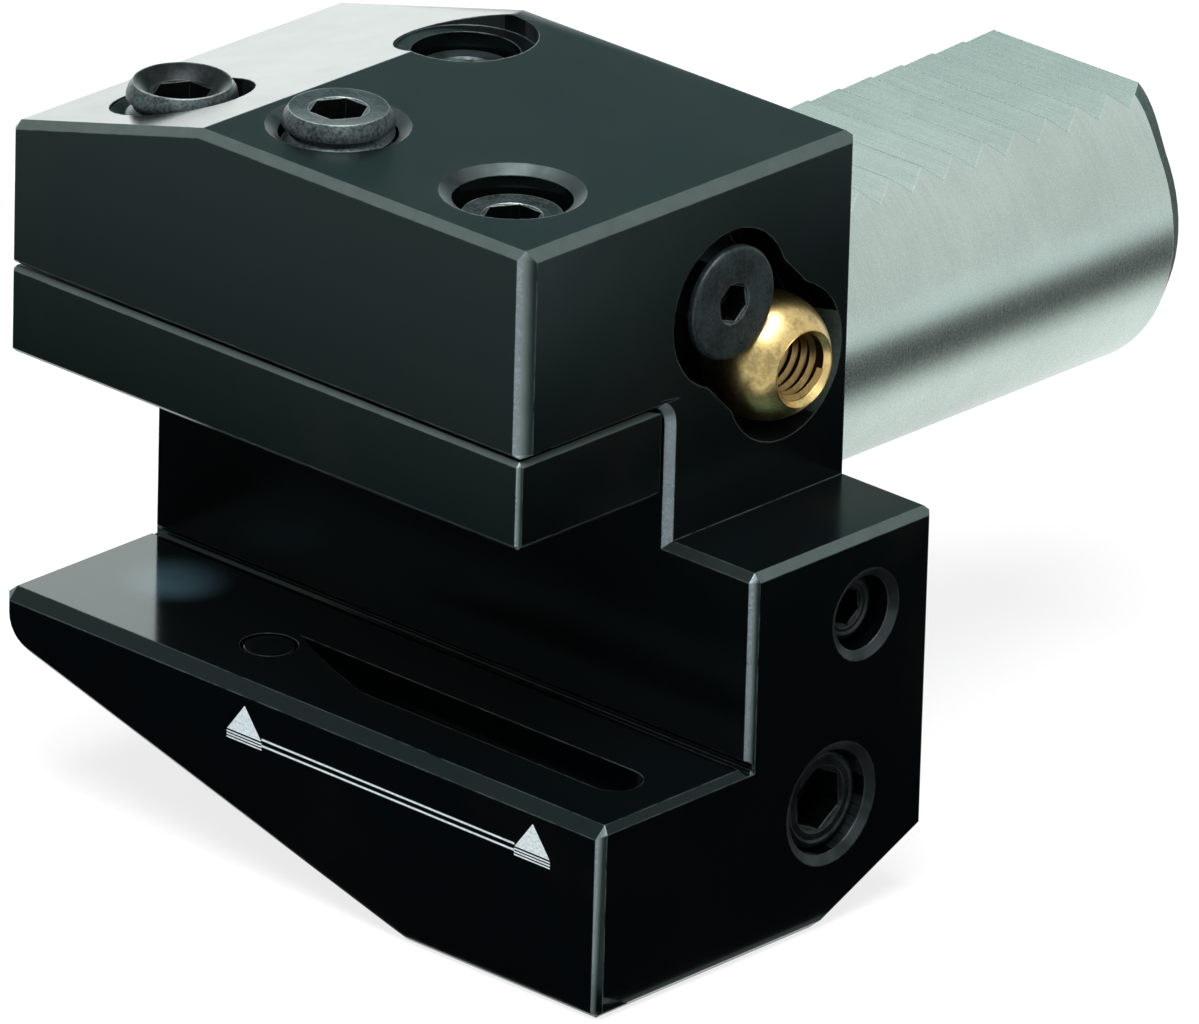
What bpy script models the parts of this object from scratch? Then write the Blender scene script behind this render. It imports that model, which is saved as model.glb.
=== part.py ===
"""Radial square-seat tool holder with a serrated round shank and a coolant ball nozzle.

X runs along the clamped tool, Y towards the end of the shank and Z up.
The origin is the point where the shank's axis meets the flange face.
All sizes are in metres.
"""

import math

import bmesh
import bpy
from mathutils import Matrix, Vector

# Clearances
GAP = 0.0003
SMALL = 0.00001
PAST = 0.001

# Facets of round surfaces
SHANK_STEPS = 72
ROUND_STEPS = 32
FINE_STEPS = 28
ARC_STEPS = 6
SHARP_ANGLE = math.radians(20)
FLAT_ANGLE = math.radians(0.05)

# Shank
SHANK_DIAMETER = 0.030
SHANK_LENGTH = 0.055
SHANK_END_CHAMFER = 0.0013
CREST_HEIGHT = 0.0124
TOOTH_PITCH = 0.004
TOOTH_DEPTH = 0.0012
TOOTHED_LENGTH = 0.040

# Seal at the root of the shank
FLANGE_SEAL_CORD = 0.0024
FLANGE_SEAL_GROOVE_DEPTH = 0.0021

# Head, seen from the front
HEAD_LEFT = 0.035
HEAD_RIGHT = 0.035
BLOCK_RIGHT = 0.025
TOP_HEIGHT = 0.028
LEDGE_THICKNESS = 0.0175
LEDGE_TIP_THICKNESS = 0.0048
STEP_DEPTH = 0.003
TOP_FOLD = 0.013
TOP_SLOPE = math.radians(14.5)
BOTTOM_FOLD = 0.0125
TIP_RADIUS = 0.0035

# Head, seen from the side
HEAD_LENGTH = 0.040
REAR_SLOPE_LENGTH = 0.0123
REAR_SLOPE_RISE = 0.0055
EDGE_CHAMFER = 0.0007
REAR_CHAMFER = 0.0004
BLOCK_TOP_CHAMFER = 0.0009
BLOCK_FRONT_CHAMFER = 0.0012
LEDGE_CHAMFER = 0.00105
LEDGE_END_CHAMFER = 0.0006
SLOT_EDGE_CHAMFER = 0.0003

# Tool slot
SEAT_DROP = 0.0205
SLOT_DEPTH = 0.018
SLOT_TOP = 0.0096
SLOT_FILLET = 0.002
RELIEF_RADIUS = 0.0006

# Clamping bar
BAR_THICKNESS = 0.0079
BAR_TOP_GAP = 0.0003
BAR_WALL_GAP = 0.0004
BAR_END_SETBACK = 0.0003
BAR_CHAMFER = 0.0004
BAR_BACK_CHAMFER = 0.0016

# Clamping screws, from left to right: places are set in from the upper block's right face
CLAMP_SCREW_DIAMETER = 0.0096
CLAMP_SCREW_FACE = 0.0084
CLAMP_SCREW_INSETS = (0.0490, 0.0308, 0.0107)
CLAMP_SCREW_RISES = (-0.0014, 0.0016, -0.0020)
CLAMP_SCREW_DISHES = (0.0007, 0.0001, 0.0001)
CLAMP_ROW_INSET = 0.0095
CLAMP_MOUTH = 0.0124
CLAMP_HEX = 0.005
CLAMP_HEX_DEPTH = 0.005
MOUTH_ANGLE = math.radians(59)
LEFT_MOUTH_DEPTH = 0.0018

# Screws and springs that carry the bar
HANGER_DIAMETER = 0.004
HANGER_HEAD = 0.007
HANGER_HEAD_HEIGHT = 0.0020
HANGER_HEX = 0.0025
HANGER_HEX_DEPTH = 0.0014
HANGER_GRIP = 0.009
BAR_WEB = 0.0014
SPRING_WIRE = 0.0004
SPRING_TURNS = 2
SPRING_POINTS_PER_TURN = 18

# Coolant channels inside the head
CHANNEL_SETBACK = 0.008
MAIN_CHANNEL = 0.006
SIDE_CHANNEL = 0.005
DRILLED_PAST = 0.0011
RISER_INSET = 0.0225

# Rear plug in the top face
PLUG_DIAMETER = 0.0088
PLUG_FACE = 0.0083
PLUG_HEX = 0.005
PLUG_HEX_DEPTH = 0.004
PLUG_LENGTH = 0.008
RISER_MOUTH = 0.0124
RISER_MOUTH_DEPTH = 0.0016
RISER_PLUG_DEPTH = 0.0030

# Plug in the lower right face
SIDE_PLUG_SETBACK = 0.0116
SIDE_PLUG_DROP = 0.0063
SIDE_PLUG_RECESS = 0.0012
SIDE_PLUG_MOUTH = 0.0110

# Shut-off screw and ball
VALVE_DROP = 0.0075
VALVE_SCREW_DIAMETER = 0.006
VALVE_SCREW_FACE = 0.0048
VALVE_SCREW_LENGTH = 0.008
VALVE_SCREW_RECESS = 0.002
VALVE_HEX = 0.003
VALVE_HEX_DEPTH = 0.003
VALVE_MOUTH = 0.0082
VALVE_BALL = 0.0055
VALVE_SEAT = 0.004
VALVE_TRAVEL = 0.003

# Ball nozzle
BALL_DIAMETER = 0.0112
BALL_SETBACK = 0.0023
BALL_FLAT = 0.0045
BALL_BELOW_MIDDLE = 0.0031
NOZZLE_THREAD = 0.0058
NOZZLE_MOUTH = 0.0064
NOZZLE_THREAD_DEPTH = 0.0056
BALL_PORT = 0.0038
POCKET_DIAMETER = 0.0140
POCKET_WAIST = 0.0128
POCKET_DEPTH = 0.006
POCKET_LOBE_DROP = 0.0005
NOZZLE_SEAL_CORD = 0.0018
NOZZLE_SEAL_DIAMETER = 0.0072

# Screw that holds the ball
NOZZLE_SCREW_BACK = 0.0070
NOZZLE_SCREW_RISE = 0.0074
NOZZLE_SCREW_PROUD = 0.0004
NOZZLE_SCREW_DIAMETER = 0.005
NOZZLE_SCREW_HEAD = 0.010
NOZZLE_SCREW_RIM = 0.0003
NOZZLE_SCREW_LENGTH = 0.018
NOZZLE_HEX = 0.003
NOZZLE_HEX_DEPTH = 0.0023

# Coolant groove in the ledge
GROOVE_WIDTH = 0.0049
GROOVE_INSET = 0.0085
GROOVE_END_INSET = 0.0041
GROOVE_LENGTH = 0.0412
GROOVE_RUN_OUT = 0.0122
GROOVE_DEPTH = 0.0030
FEED_DIAMETER = 0.0034

# Pressed plug in the ledge
SEAT_PLUG_HOLE = 0.005
SEAT_PLUG_THICKNESS = 0.0016
SEAT_PLUG_SUNK = 0.0001
SEAT_PLUG_AFTER_GROOVE = 0.0005
SEAT_PLUG_INSET = 0.0076
SEAT_PLUG_DRILLING = 0.0036

# Ports in the flange face
PORT_SPREAD = 0.0115
PORT_DROP = 0.0043
PORT_END_INSET = 0.0055
PORT_SEAL_CORD = 0.0018
PORT_SEAL_DIAMETER = 0.0074
PORT_SEAL_PROUD = 0.0005
SPARE_PLUG_DIAMETER = 0.008
SPARE_PLUG_LENGTH = 0.006
SPARE_PLUG_SUNK = 0.0005
SPARE_PLUG_HEX = 0.004
SPARE_PLUG_HEX_DEPTH = 0.003

# Places worked out from the sizes above
FRONT = -HEAD_LENGTH
WALL = FRONT + SLOT_DEPTH
BOTTOM_DEPTH = SEAT_DROP + LEDGE_THICKNESS
PORT_DEPTH = SEAT_DROP + PORT_DROP
SIDE_PLUG_DEPTH = SEAT_DROP + SIDE_PLUG_DROP
VALVE_DEPTH = STEP_DEPTH + VALVE_DROP
BALL_HEIGHT = (TOP_HEIGHT - STEP_DEPTH) / 2 - BALL_BELOW_MIDDLE
BAR_TOP = SLOT_TOP - BAR_TOP_GAP
BAR_BOTTOM = BAR_TOP - BAR_THICKNESS
CLAMP_ROW = FRONT + CLAMP_ROW_INSET
CLAMP_XS = tuple(BLOCK_RIGHT - inset for inset in CLAMP_SCREW_INSETS)
HANGER_XS = ((CLAMP_XS[0] + CLAMP_XS[1]) / 2, (CLAMP_XS[1] + CLAMP_XS[2]) / 2)
HANGER_HEAD_BOTTOM = BAR_BOTTOM
HANGER_HEAD_TOP = HANGER_HEAD_BOTTOM + HANGER_HEAD_HEIGHT
SPRING_SEAT = BAR_TOP - BAR_WEB
RISER_X = -HEAD_LEFT + RISER_INSET
NOZZLE_X = BLOCK_RIGHT - BALL_SETBACK
POCKET_FLOOR = BLOCK_RIGHT - POCKET_DEPTH
VALVE_TIP = HEAD_RIGHT - VALVE_SCREW_RECESS - VALVE_SCREW_LENGTH
VALVE_BALL_X = VALVE_TIP - GAP - VALVE_BALL / 2
GROOVE_Y = FRONT + GROOVE_INSET
GROOVE_RIGHT = HEAD_RIGHT - GROOVE_END_INSET
GROOVE_LEFT = GROOVE_RIGHT - GROOVE_LENGTH
SEAT_PLUG_X = GROOVE_LEFT - SEAT_PLUG_AFTER_GROOVE
SEAT_PLUG_Y = FRONT + SEAT_PLUG_INSET
PORT_END = FRONT + PORT_END_INSET


def material(name, colour, roughness, metallic):
    """A plain finish with this colour."""
    made = bpy.data.materials.new(name)
    made.use_nodes = True
    shader = made.node_tree.nodes["Principled BSDF"]
    shader.inputs["Base Color"].default_value = (*colour, 1)
    shader.inputs["Roughness"].default_value = roughness
    shader.inputs["Metallic"].default_value = metallic
    return made


def clear_scene():
    for obj in list(bpy.data.objects):
        bpy.data.objects.remove(obj, do_unlink=True)


def new_collection(name):
    made = bpy.data.collections.new(name)
    bpy.context.scene.collection.children.link(made)
    return made


def add_object(name, data, collection, finish=None):
    obj = bpy.data.objects.new(name, data)
    collection.objects.link(obj)
    if finish:
        data.materials.append(finish)
    return obj


def make_cutter(obj):
    """Marks an object that only shapes others."""
    obj.hide_render = True
    obj.display_type = "WIRE"
    return obj


def place(obj, location, direction=(0, 0, 1)):
    """Puts the object's origin at location, with its own Z axis along direction."""
    turn = Vector(direction).to_track_quat("Z", "Y")
    obj.rotation_euler = turn.to_euler()
    obj.location = location
    obj.matrix_world = Matrix.LocRotScale(Vector(location), turn, None)
    return obj


def evaluated_mesh(obj):
    """A mesh of the object as its modifiers leave it, with loose caps welded."""
    bpy.context.view_layer.update()
    graph = bpy.context.evaluated_depsgraph_get()
    mesh = bpy.data.meshes.new_from_object(obj.evaluated_get(graph))
    bm = bmesh.new()
    bm.from_mesh(mesh)
    bmesh.ops.remove_doubles(bm, verts=bm.verts, dist=SMALL / 10)
    bm.to_mesh(mesh)
    bm.free()
    return mesh


def extruded(name, outline, low, high, axis, collection, finish=None):
    """An outline extruded along X, Y or Z: it lies in YZ, XZ or XY."""
    curve = bpy.data.curves.new(name, "CURVE")
    curve.dimensions = "2D"
    curve.fill_mode = "BOTH"
    curve.extrude = (high - low) / 2
    spline = curve.splines.new("POLY")
    spline.points.add(len(outline) - 1)
    for point, (across, up) in zip(spline.points, outline):
        point.co = (across, up, 0, 1)
    spline.use_cyclic_u = True
    guide = add_object(name + "_outline", curve, collection)
    middle = (low + high) / 2
    turns = {
        "X": ((math.pi / 2, 0, math.pi / 2), (middle, 0, 0)),
        "Y": ((math.pi / 2, 0, 0), (0, middle, 0)),
        "Z": ((0, 0, 0), (0, 0, middle)),
    }
    guide.rotation_euler, guide.location = turns[axis]
    mesh = evaluated_mesh(guide)
    obj = add_object(name, mesh, collection, finish)
    obj.matrix_world = guide.matrix_world.copy()
    bpy.data.objects.remove(guide)
    return obj


def turned(name, stations, collection, finish=None, steps=ROUND_STEPS, ring=False):
    """A solid of revolution about Z from radii and heights down its outer side."""
    points = [(radius, 0, height) for radius, height in stations]
    edges = [(i, i + 1) for i in range(len(points) - 1)]
    if ring:
        edges.append((len(points) - 1, 0))
    mesh = bpy.data.meshes.new(name)
    mesh.from_pydata(points, edges, [])
    obj = add_object(name, mesh, collection, finish)
    screw = obj.modifiers.new("Turn", "SCREW")
    screw.axis = "Z"
    screw.steps = steps
    screw.render_steps = steps
    screw.use_merge_vertices = True
    screw.merge_threshold = SMALL
    screw.use_smooth_shade = False
    return obj


def cylinder(name, diameter, low, high, collection, steps=ROUND_STEPS):
    """A round bar about Z between two heights."""
    mesh = bpy.data.meshes.new(name)
    bm = bmesh.new()
    bmesh.ops.create_cone(
        bm,
        cap_ends=True,
        segments=steps,
        radius1=diameter / 2,
        radius2=diameter / 2,
        depth=high - low,
        matrix=Matrix.Translation((0, 0, (low + high) / 2)),
    )
    bm.to_mesh(mesh)
    bm.free()
    return add_object(name, mesh, collection)


def hexagon(name, across_flats, low, high, collection):
    """A six-sided bar about Z."""
    return cylinder(name, across_flats * 2 / math.sqrt(3), low, high, collection, steps=6)


def torus(name, ring_diameter, cord, steps, collection, finish):
    """A sealing ring about Z."""
    bpy.ops.mesh.primitive_torus_add(
        major_segments=steps,
        minor_segments=12,
        major_radius=ring_diameter / 2,
        minor_radius=cord / 2,
    )
    obj = bpy.context.object
    obj.name = name
    for owner in list(obj.users_collection):
        owner.objects.unlink(obj)
    collection.objects.link(obj)
    obj.data.materials.append(finish)
    return obj


def combine(target, other, operation):
    """Joins other to the target or cuts it away."""
    modifier = target.modifiers.new(other.name, "BOOLEAN")
    modifier.operation = operation
    modifier.solver = "EXACT"
    modifier.object = make_cutter(other)


def cut(target, *others):
    for other in others:
        combine(target, other, "DIFFERENCE")


def bevel_edges(obj, width_of):
    """Makes obj a plain mesh and bevels its convex edges, each by width_of(middle)."""
    mesh = evaluated_mesh(obj)
    obj.modifiers.clear()
    obj.data = mesh
    bm = bmesh.new()
    bm.from_mesh(mesh)
    bmesh.ops.dissolve_limit(bm, angle_limit=FLAT_ANGLE, verts=bm.verts, edges=bm.edges)
    weights = bm.edges.layers.float.new("bevel_weight_edge")
    widths = {}
    for edge in bm.edges:
        if not edge.is_manifold or not edge.is_convex or edge.calc_face_angle() < SHARP_ANGLE:
            continue
        middle = obj.matrix_world @ ((edge.verts[0].co + edge.verts[1].co) / 2)
        widths[edge] = width_of(middle)
    widest = max(widths.values())
    for edge, width in widths.items():
        edge[weights] = width / widest
    bm.to_mesh(mesh)
    bm.free()
    bevel = obj.modifiers.new("Edges", "BEVEL")
    bevel.limit_method = "WEIGHT"
    bevel.width = widest
    bevel.segments = 1
    bevel.use_clamp_overlap = True


def near(value, target):
    return abs(value - target) < SMALL


def round_corner(before, corner, after, radius, steps=ARC_STEPS):
    """The points of an arc of this radius that replaces a corner."""
    before, corner, after = Vector(before), Vector(corner), Vector(after)
    to_before = (before - corner).normalized()
    to_after = (after - corner).normalized()
    half = to_before.angle(to_after) / 2
    centre = corner + (to_before + to_after).normalized() * radius / math.sin(half)
    reach = radius / math.tan(half)
    first = corner + to_before * reach - centre
    last = corner + to_after * reach - centre
    sweep = math.atan2(first.x * last.y - first.y * last.x, first.dot(last))
    points = []
    for i in range(steps + 1):
        angle = sweep * i / steps
        spoke = Vector((
            first.x * math.cos(angle) - first.y * math.sin(angle),
            first.x * math.sin(angle) + first.y * math.cos(angle),
        ))
        points.append(tuple(centre + spoke))
    return points


def arc(centre, radius, start, end, steps):
    """Points on a circle from one angle to another."""
    points = []
    for i in range(steps + 1):
        angle = start + (end - start) * i / steps
        points.append((centre[0] + radius * math.cos(angle), centre[1] + radius * math.sin(angle)))
    return points


def head_outline():
    """The head seen from the front, with its lower left tip rounded."""
    left_top = TOP_HEIGHT - (HEAD_LEFT - TOP_FOLD) * math.tan(TOP_SLOPE)
    tip = -SEAT_DROP - LEDGE_TIP_THICKNESS
    underside = (BOTTOM_FOLD, -BOTTOM_DEPTH)
    rounded = round_corner((-HEAD_LEFT, left_top), (-HEAD_LEFT, tip), underside, TIP_RADIUS)
    return [
        (BLOCK_RIGHT, TOP_HEIGHT),
        (-TOP_FOLD, TOP_HEIGHT),
        (-HEAD_LEFT, left_top),
        *rounded,
        underside,
        (HEAD_RIGHT, -BOTTOM_DEPTH),
        (HEAD_RIGHT, -STEP_DEPTH),
        (BLOCK_RIGHT, -STEP_DEPTH),
    ]


def slot_outline():
    """The tool slot seen from the side, with its upper back corner rounded."""
    rounded = round_corner((WALL, -SEAT_DROP), (WALL, SLOT_TOP), (FRONT, SLOT_TOP), SLOT_FILLET)
    return [
        (FRONT - PAST, -SEAT_DROP),
        (WALL, -SEAT_DROP),
        *rounded,
        (FRONT - PAST, SLOT_TOP),
    ]


def rear_slope_outline():
    """What is taken off the lower rear edge, seen from the side."""
    spare = 0.3
    return [
        (-REAR_SLOPE_LENGTH * (1 + spare), -BOTTOM_DEPTH - REAR_SLOPE_RISE * spare),
        (REAR_SLOPE_LENGTH * spare, -BOTTOM_DEPTH - REAR_SLOPE_RISE * spare),
        (REAR_SLOPE_LENGTH * spare, -BOTTOM_DEPTH + REAR_SLOPE_RISE * (1 + spare)),
    ]


def edge_width(point):
    """How wide the head's chamfer is at this place."""
    if near(point.z, -SEAT_DROP):
        return LEDGE_CHAMFER if near(point.y, FRONT) else LEDGE_END_CHAMFER
    if near(point.z, SLOT_TOP):
        return SLOT_EDGE_CHAMFER
    if near(point.y, 0):
        return REAR_CHAMFER
    if near(point.x, BLOCK_RIGHT) and near(point.z, TOP_HEIGHT):
        return BLOCK_TOP_CHAMFER
    if near(point.x, BLOCK_RIGHT) and near(point.y, FRONT):
        return BLOCK_FRONT_CHAMFER
    return EDGE_CHAMFER


def toothed_outline():
    """The space above the shank's teeth, seen from the side.

    Each tooth rises gently to its crest and drops at 45 degrees behind it.
    """
    above = SHANK_DIAMETER / 2 + PAST
    count = round(TOOTHED_LENGTH / TOOTH_PITCH)
    points = [(SHANK_LENGTH + PAST, CREST_HEIGHT)]
    for i in range(count):
        crest = SHANK_LENGTH - i * TOOTH_PITCH
        valley = crest - TOOTH_PITCH + TOOTH_DEPTH
        points.append((crest, CREST_HEIGHT))
        points.append((valley, CREST_HEIGHT - TOOTH_DEPTH))
    front = SHANK_LENGTH - count * TOOTH_PITCH
    points.append((front, CREST_HEIGHT))
    points.append((front, above))
    points.append((SHANK_LENGTH + PAST, above))
    return points


def make_shank(cutters):
    """The ground shank with its teeth and the groove of the flange seal."""
    radius = SHANK_DIAMETER / 2
    floor = radius - FLANGE_SEAL_GROOVE_DEPTH
    groove_end = FLANGE_SEAL_CORD + 2 * GAP
    shank = turned(
        "shank",
        [
            (0, SHANK_LENGTH),
            (radius - SHANK_END_CHAMFER, SHANK_LENGTH),
            (radius, SHANK_LENGTH - SHANK_END_CHAMFER),
            (radius, groove_end),
            (floor, groove_end),
            (floor, -EDGE_CHAMFER - PAST),
            (0, -EDGE_CHAMFER - PAST),
        ],
        cutters,
        steps=SHANK_STEPS,
    )
    place(shank, (0, 0, 0), (0, 1, 0))
    teeth = extruded("teeth_cut", toothed_outline(), -radius - PAST, radius + PAST, "X", cutters)
    cut(shank, teeth)
    return shank


def mouth_stations(mouth, bore, depth_before=0.0):
    """A countersunk mouth above a bore: it opens past the face and ends at the bore."""
    cone = (mouth - bore) / 2 / math.tan(MOUTH_ANGLE)
    return [
        (0, PAST),
        (mouth / 2, PAST),
        (mouth / 2, -depth_before),
        (bore / 2, -depth_before - cone),
    ]


def make_clamp_holes(cutters):
    """The clamping screws' threaded holes through the upper block."""
    bore = CLAMP_SCREW_DIAMETER + 2 * GAP
    holes = []
    for side, x in zip(("left", "middle", "right"), CLAMP_XS):
        slope = max(0.0, -TOP_FOLD - x) * math.tan(TOP_SLOPE)
        sunk = LEFT_MOUTH_DEPTH if slope else 0.0
        depth = TOP_HEIGHT - slope - SLOT_TOP + PAST
        stations = mouth_stations(CLAMP_MOUTH, bore, sunk)
        stations[0] = (0, PAST + slope)
        stations[1] = (CLAMP_MOUTH / 2, PAST + slope)
        hole = turned(f"clamp_hole_{side}", [*stations, (bore / 2, -depth), (0, -depth)], cutters)
        place(hole, (x, CLAMP_ROW, TOP_HEIGHT - slope))
        holes.append(hole)
    return holes


def make_hanger_holes(cutters):
    """Blind threaded holes for the screws that carry the bar."""
    holes = []
    top = SLOT_TOP + HANGER_GRIP + PAST
    for side, x in zip(("left", "right"), HANGER_XS):
        diameter = HANGER_DIAMETER + 2 * GAP
        hole = cylinder(f"hanger_hole_{side}", diameter, SLOT_TOP - PAST, top, cutters, FINE_STEPS)
        holes.append(place(hole, (x, CLAMP_ROW, 0)))
    return holes


def make_riser(cutters):
    """The upright channel under the rear plug, with the plug's stepped mouth."""
    bore = PLUG_DIAMETER / 2 + GAP
    narrow = MAIN_CHANNEL / 2
    thread_end = -RISER_PLUG_DEPTH - PLUG_LENGTH - GAP
    bottom = -TOP_HEIGHT - PORT_DEPTH - DRILLED_PAST
    riser = turned(
        "riser_cut",
        [
            (0, PAST),
            (RISER_MOUTH / 2, PAST),
            (RISER_MOUTH / 2, -RISER_MOUTH_DEPTH),
            (bore, -RISER_MOUTH_DEPTH),
            (bore, thread_end),
            (narrow, thread_end),
            (narrow, bottom),
            (0, bottom),
        ],
        cutters,
    )
    return place(riser, (RISER_X, -CHANNEL_SETBACK, TOP_HEIGHT))


def make_side_plug_hole(cutters):
    """The cross channel low in the head, with the side plug's mouth."""
    bore = PLUG_DIAMETER + 2 * GAP
    thread_end = -SIDE_PLUG_RECESS - PLUG_LENGTH - GAP
    end = -HEAD_RIGHT - PORT_SPREAD - DRILLED_PAST
    stations = [
        *mouth_stations(SIDE_PLUG_MOUTH, bore),
        (bore / 2, thread_end),
        (MAIN_CHANNEL / 2, thread_end),
        (MAIN_CHANNEL / 2, end),
        (0, end),
    ]
    hole = turned("side_plug_cut", stations, cutters)
    return place(hole, (HEAD_RIGHT, -SIDE_PLUG_SETBACK, -SIDE_PLUG_DEPTH), (1, 0, 0))


def make_valve_hole(cutters):
    """The shut-off screw's thread, the ball's seat and the channel behind it."""
    bore = VALVE_SCREW_DIAMETER + 2 * GAP
    seat_radius = VALVE_SEAT / 2
    ball_radius = VALVE_BALL / 2
    reach = math.sqrt(ball_radius**2 - seat_radius**2)
    seat = VALVE_BALL_X - VALVE_TRAVEL - reach - GAP / 2 - HEAD_RIGHT
    cone = (bore / 2 - seat_radius) / math.tan(MOUTH_ANGLE)
    end = RISER_X - DRILLED_PAST - HEAD_RIGHT
    stations = [
        *mouth_stations(VALVE_MOUTH, bore),
        (bore / 2, seat + cone),
        (seat_radius, seat),
        (seat_radius, end),
        (0, end),
    ]
    hole = turned("valve_cut", stations, cutters, steps=FINE_STEPS)
    return place(hole, (HEAD_RIGHT, -CHANNEL_SETBACK, -VALVE_DEPTH), (1, 0, 0))


def pocket_outline():
    """The nozzle's pocket on the right face: two round lobes joined by a waist, in Y and Z."""
    ball = Vector((-CHANNEL_SETBACK, BALL_HEIGHT))
    rise = NOZZLE_SCREW_RISE - POCKET_LOBE_DROP
    screw = ball + Vector((-NOZZLE_SCREW_BACK, rise))
    radius = POCKET_DIAMETER / 2
    along = math.atan2(rise, -NOZZLE_SCREW_BACK)
    open_half = math.asin(POCKET_WAIST / POCKET_DIAMETER)
    round_sweep = math.pi - open_half
    upper = arc(screw, radius, along - round_sweep, along + round_sweep, 20)
    lower = arc(ball, radius, along + math.pi - round_sweep, along + math.pi + round_sweep, 20)
    return upper + lower


def make_nozzle_cuts(cutters):
    """The pocket, the ball's seat, the channel behind it and the screw's thread."""
    low = POCKET_FLOOR
    pocket = extruded("pocket_cut", pocket_outline(), low, BLOCK_RIGHT + PAST, "X", cutters)
    seal_x = nozzle_seal_x()
    seat_floor = seal_x - NOZZLE_SEAL_CORD / 2 - GAP
    seat_radius = (NOZZLE_SEAL_DIAMETER + NOZZLE_SEAL_CORD) / 2 + GAP
    narrow = SIDE_CHANNEL / 2
    seat = turned(
        "nozzle_seat_cut",
        [
            (0, POCKET_FLOOR + PAST),
            (seat_radius, POCKET_FLOOR + PAST),
            (seat_radius, seat_floor),
            (narrow, seat_floor),
            (narrow, RISER_X - DRILLED_PAST),
            (0, RISER_X - DRILLED_PAST),
        ],
        cutters,
    )
    place(seat, (0, -CHANNEL_SETBACK, BALL_HEIGHT), (1, 0, 0))
    end = BLOCK_RIGHT - NOZZLE_SCREW_LENGTH - PAST
    diameter = NOZZLE_SCREW_DIAMETER + 2 * GAP
    thread = cylinder("nozzle_screw_cut", diameter, end, POCKET_FLOOR + PAST, cutters, FINE_STEPS)
    y = -CHANNEL_SETBACK - NOZZLE_SCREW_BACK
    place(thread, (0, y, BALL_HEIGHT + NOZZLE_SCREW_RISE), (1, 0, 0))
    return [pocket, seat, thread]


def nozzle_seal_x():
    """Where the seal's middle lies so that its cord just clears the ball."""
    reach = BALL_DIAMETER / 2 + NOZZLE_SEAL_CORD / 2 + GAP
    return NOZZLE_X - math.sqrt(reach**2 - (NOZZLE_SEAL_DIAMETER / 2) ** 2)


def groove_outline():
    """The coolant groove in the ledge, seen from above: round on the right, run out on the left."""
    half = GROOVE_WIDTH / 2
    right = arc((GROOVE_RIGHT - half, GROOVE_Y), half, -math.pi / 2, math.pi / 2, 12)
    bulge = GROOVE_WIDTH / 12
    run_out = []
    for i in range(ARC_STEPS + 1):
        share = i / ARC_STEPS
        lean = bulge * math.sin(math.pi * share)
        run_out.append((
            GROOVE_LEFT + GROOVE_RUN_OUT * share - lean,
            GROOVE_Y + half - GROOVE_WIDTH * share - lean / 2,
        ))
    return right + run_out


def make_ledge_cuts(cutters):
    """The groove, its feed drilling and the pressed plug's hole."""
    floor = -SEAT_DROP - GROOVE_DEPTH
    groove = extruded("groove_cut", groove_outline(), floor, -SEAT_DROP + PAST, "Z", cutters)
    start = Vector((GROOVE_LEFT + GROOVE_RUN_OUT * 0.85, GROOVE_Y, floor + FEED_DIAMETER * 0.2))
    end = Vector((-PORT_SPREAD, GROOVE_Y + GROOVE_WIDTH * 0.6, -PORT_DEPTH))
    feed = cylinder("feed_cut", FEED_DIAMETER, 0, (end - start).length, cutters, FINE_STEPS)
    place(feed, start, end - start)
    shoulder = -SEAT_PLUG_SUNK - SEAT_PLUG_THICKNESS - GAP
    bottom = SEAT_DROP - PORT_DEPTH - DRILLED_PAST
    plug_hole = turned(
        "seat_plug_cut",
        [
            (0, PAST),
            (SEAT_PLUG_HOLE / 2, PAST),
            (SEAT_PLUG_HOLE / 2, shoulder),
            (SEAT_PLUG_DRILLING / 2, shoulder),
            (SEAT_PLUG_DRILLING / 2, bottom),
            (0, bottom),
        ],
        cutters,
        steps=FINE_STEPS,
    )
    place(plug_hole, (SEAT_PLUG_X, SEAT_PLUG_Y, -SEAT_DROP))
    relief = cylinder(
        "relief_cut", 2 * RELIEF_RADIUS, -HEAD_LEFT - PAST, HEAD_RIGHT + PAST, cutters, 12
    )
    place(relief, (0, WALL, -SEAT_DROP), (1, 0, 0))
    return [groove, feed, plug_hole, relief]


def make_port_cuts(cutters):
    """The coolant inlet and the spare port in the flange face."""
    seal_radius = (PORT_SEAL_DIAMETER + PORT_SEAL_CORD) / 2 + GAP
    seal_floor = PORT_SEAL_PROUD - PORT_SEAL_CORD - GAP
    narrow = SIDE_CHANNEL / 2
    inlet = turned(
        "inlet_cut",
        [
            (0, PAST),
            (seal_radius, PAST),
            (seal_radius, seal_floor),
            (narrow, seal_floor),
            (narrow, PORT_END),
            (0, PORT_END),
        ],
        cutters,
    )
    place(inlet, (-PORT_SPREAD, 0, -PORT_DEPTH), (0, 1, 0))
    bore = SPARE_PLUG_DIAMETER / 2 + GAP
    thread_end = -SPARE_PLUG_SUNK - SPARE_PLUG_LENGTH - GAP
    spare = turned(
        "spare_port_cut",
        [
            (0, PAST),
            (bore, PAST),
            (bore, thread_end),
            (narrow, thread_end),
            (narrow, -SIDE_PLUG_SETBACK - DRILLED_PAST),
            (0, -SIDE_PLUG_SETBACK - DRILLED_PAST),
        ],
        cutters,
    )
    place(spare, (PORT_SPREAD, 0, -PORT_DEPTH), (0, 1, 0))
    return [inlet, spare]


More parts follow.
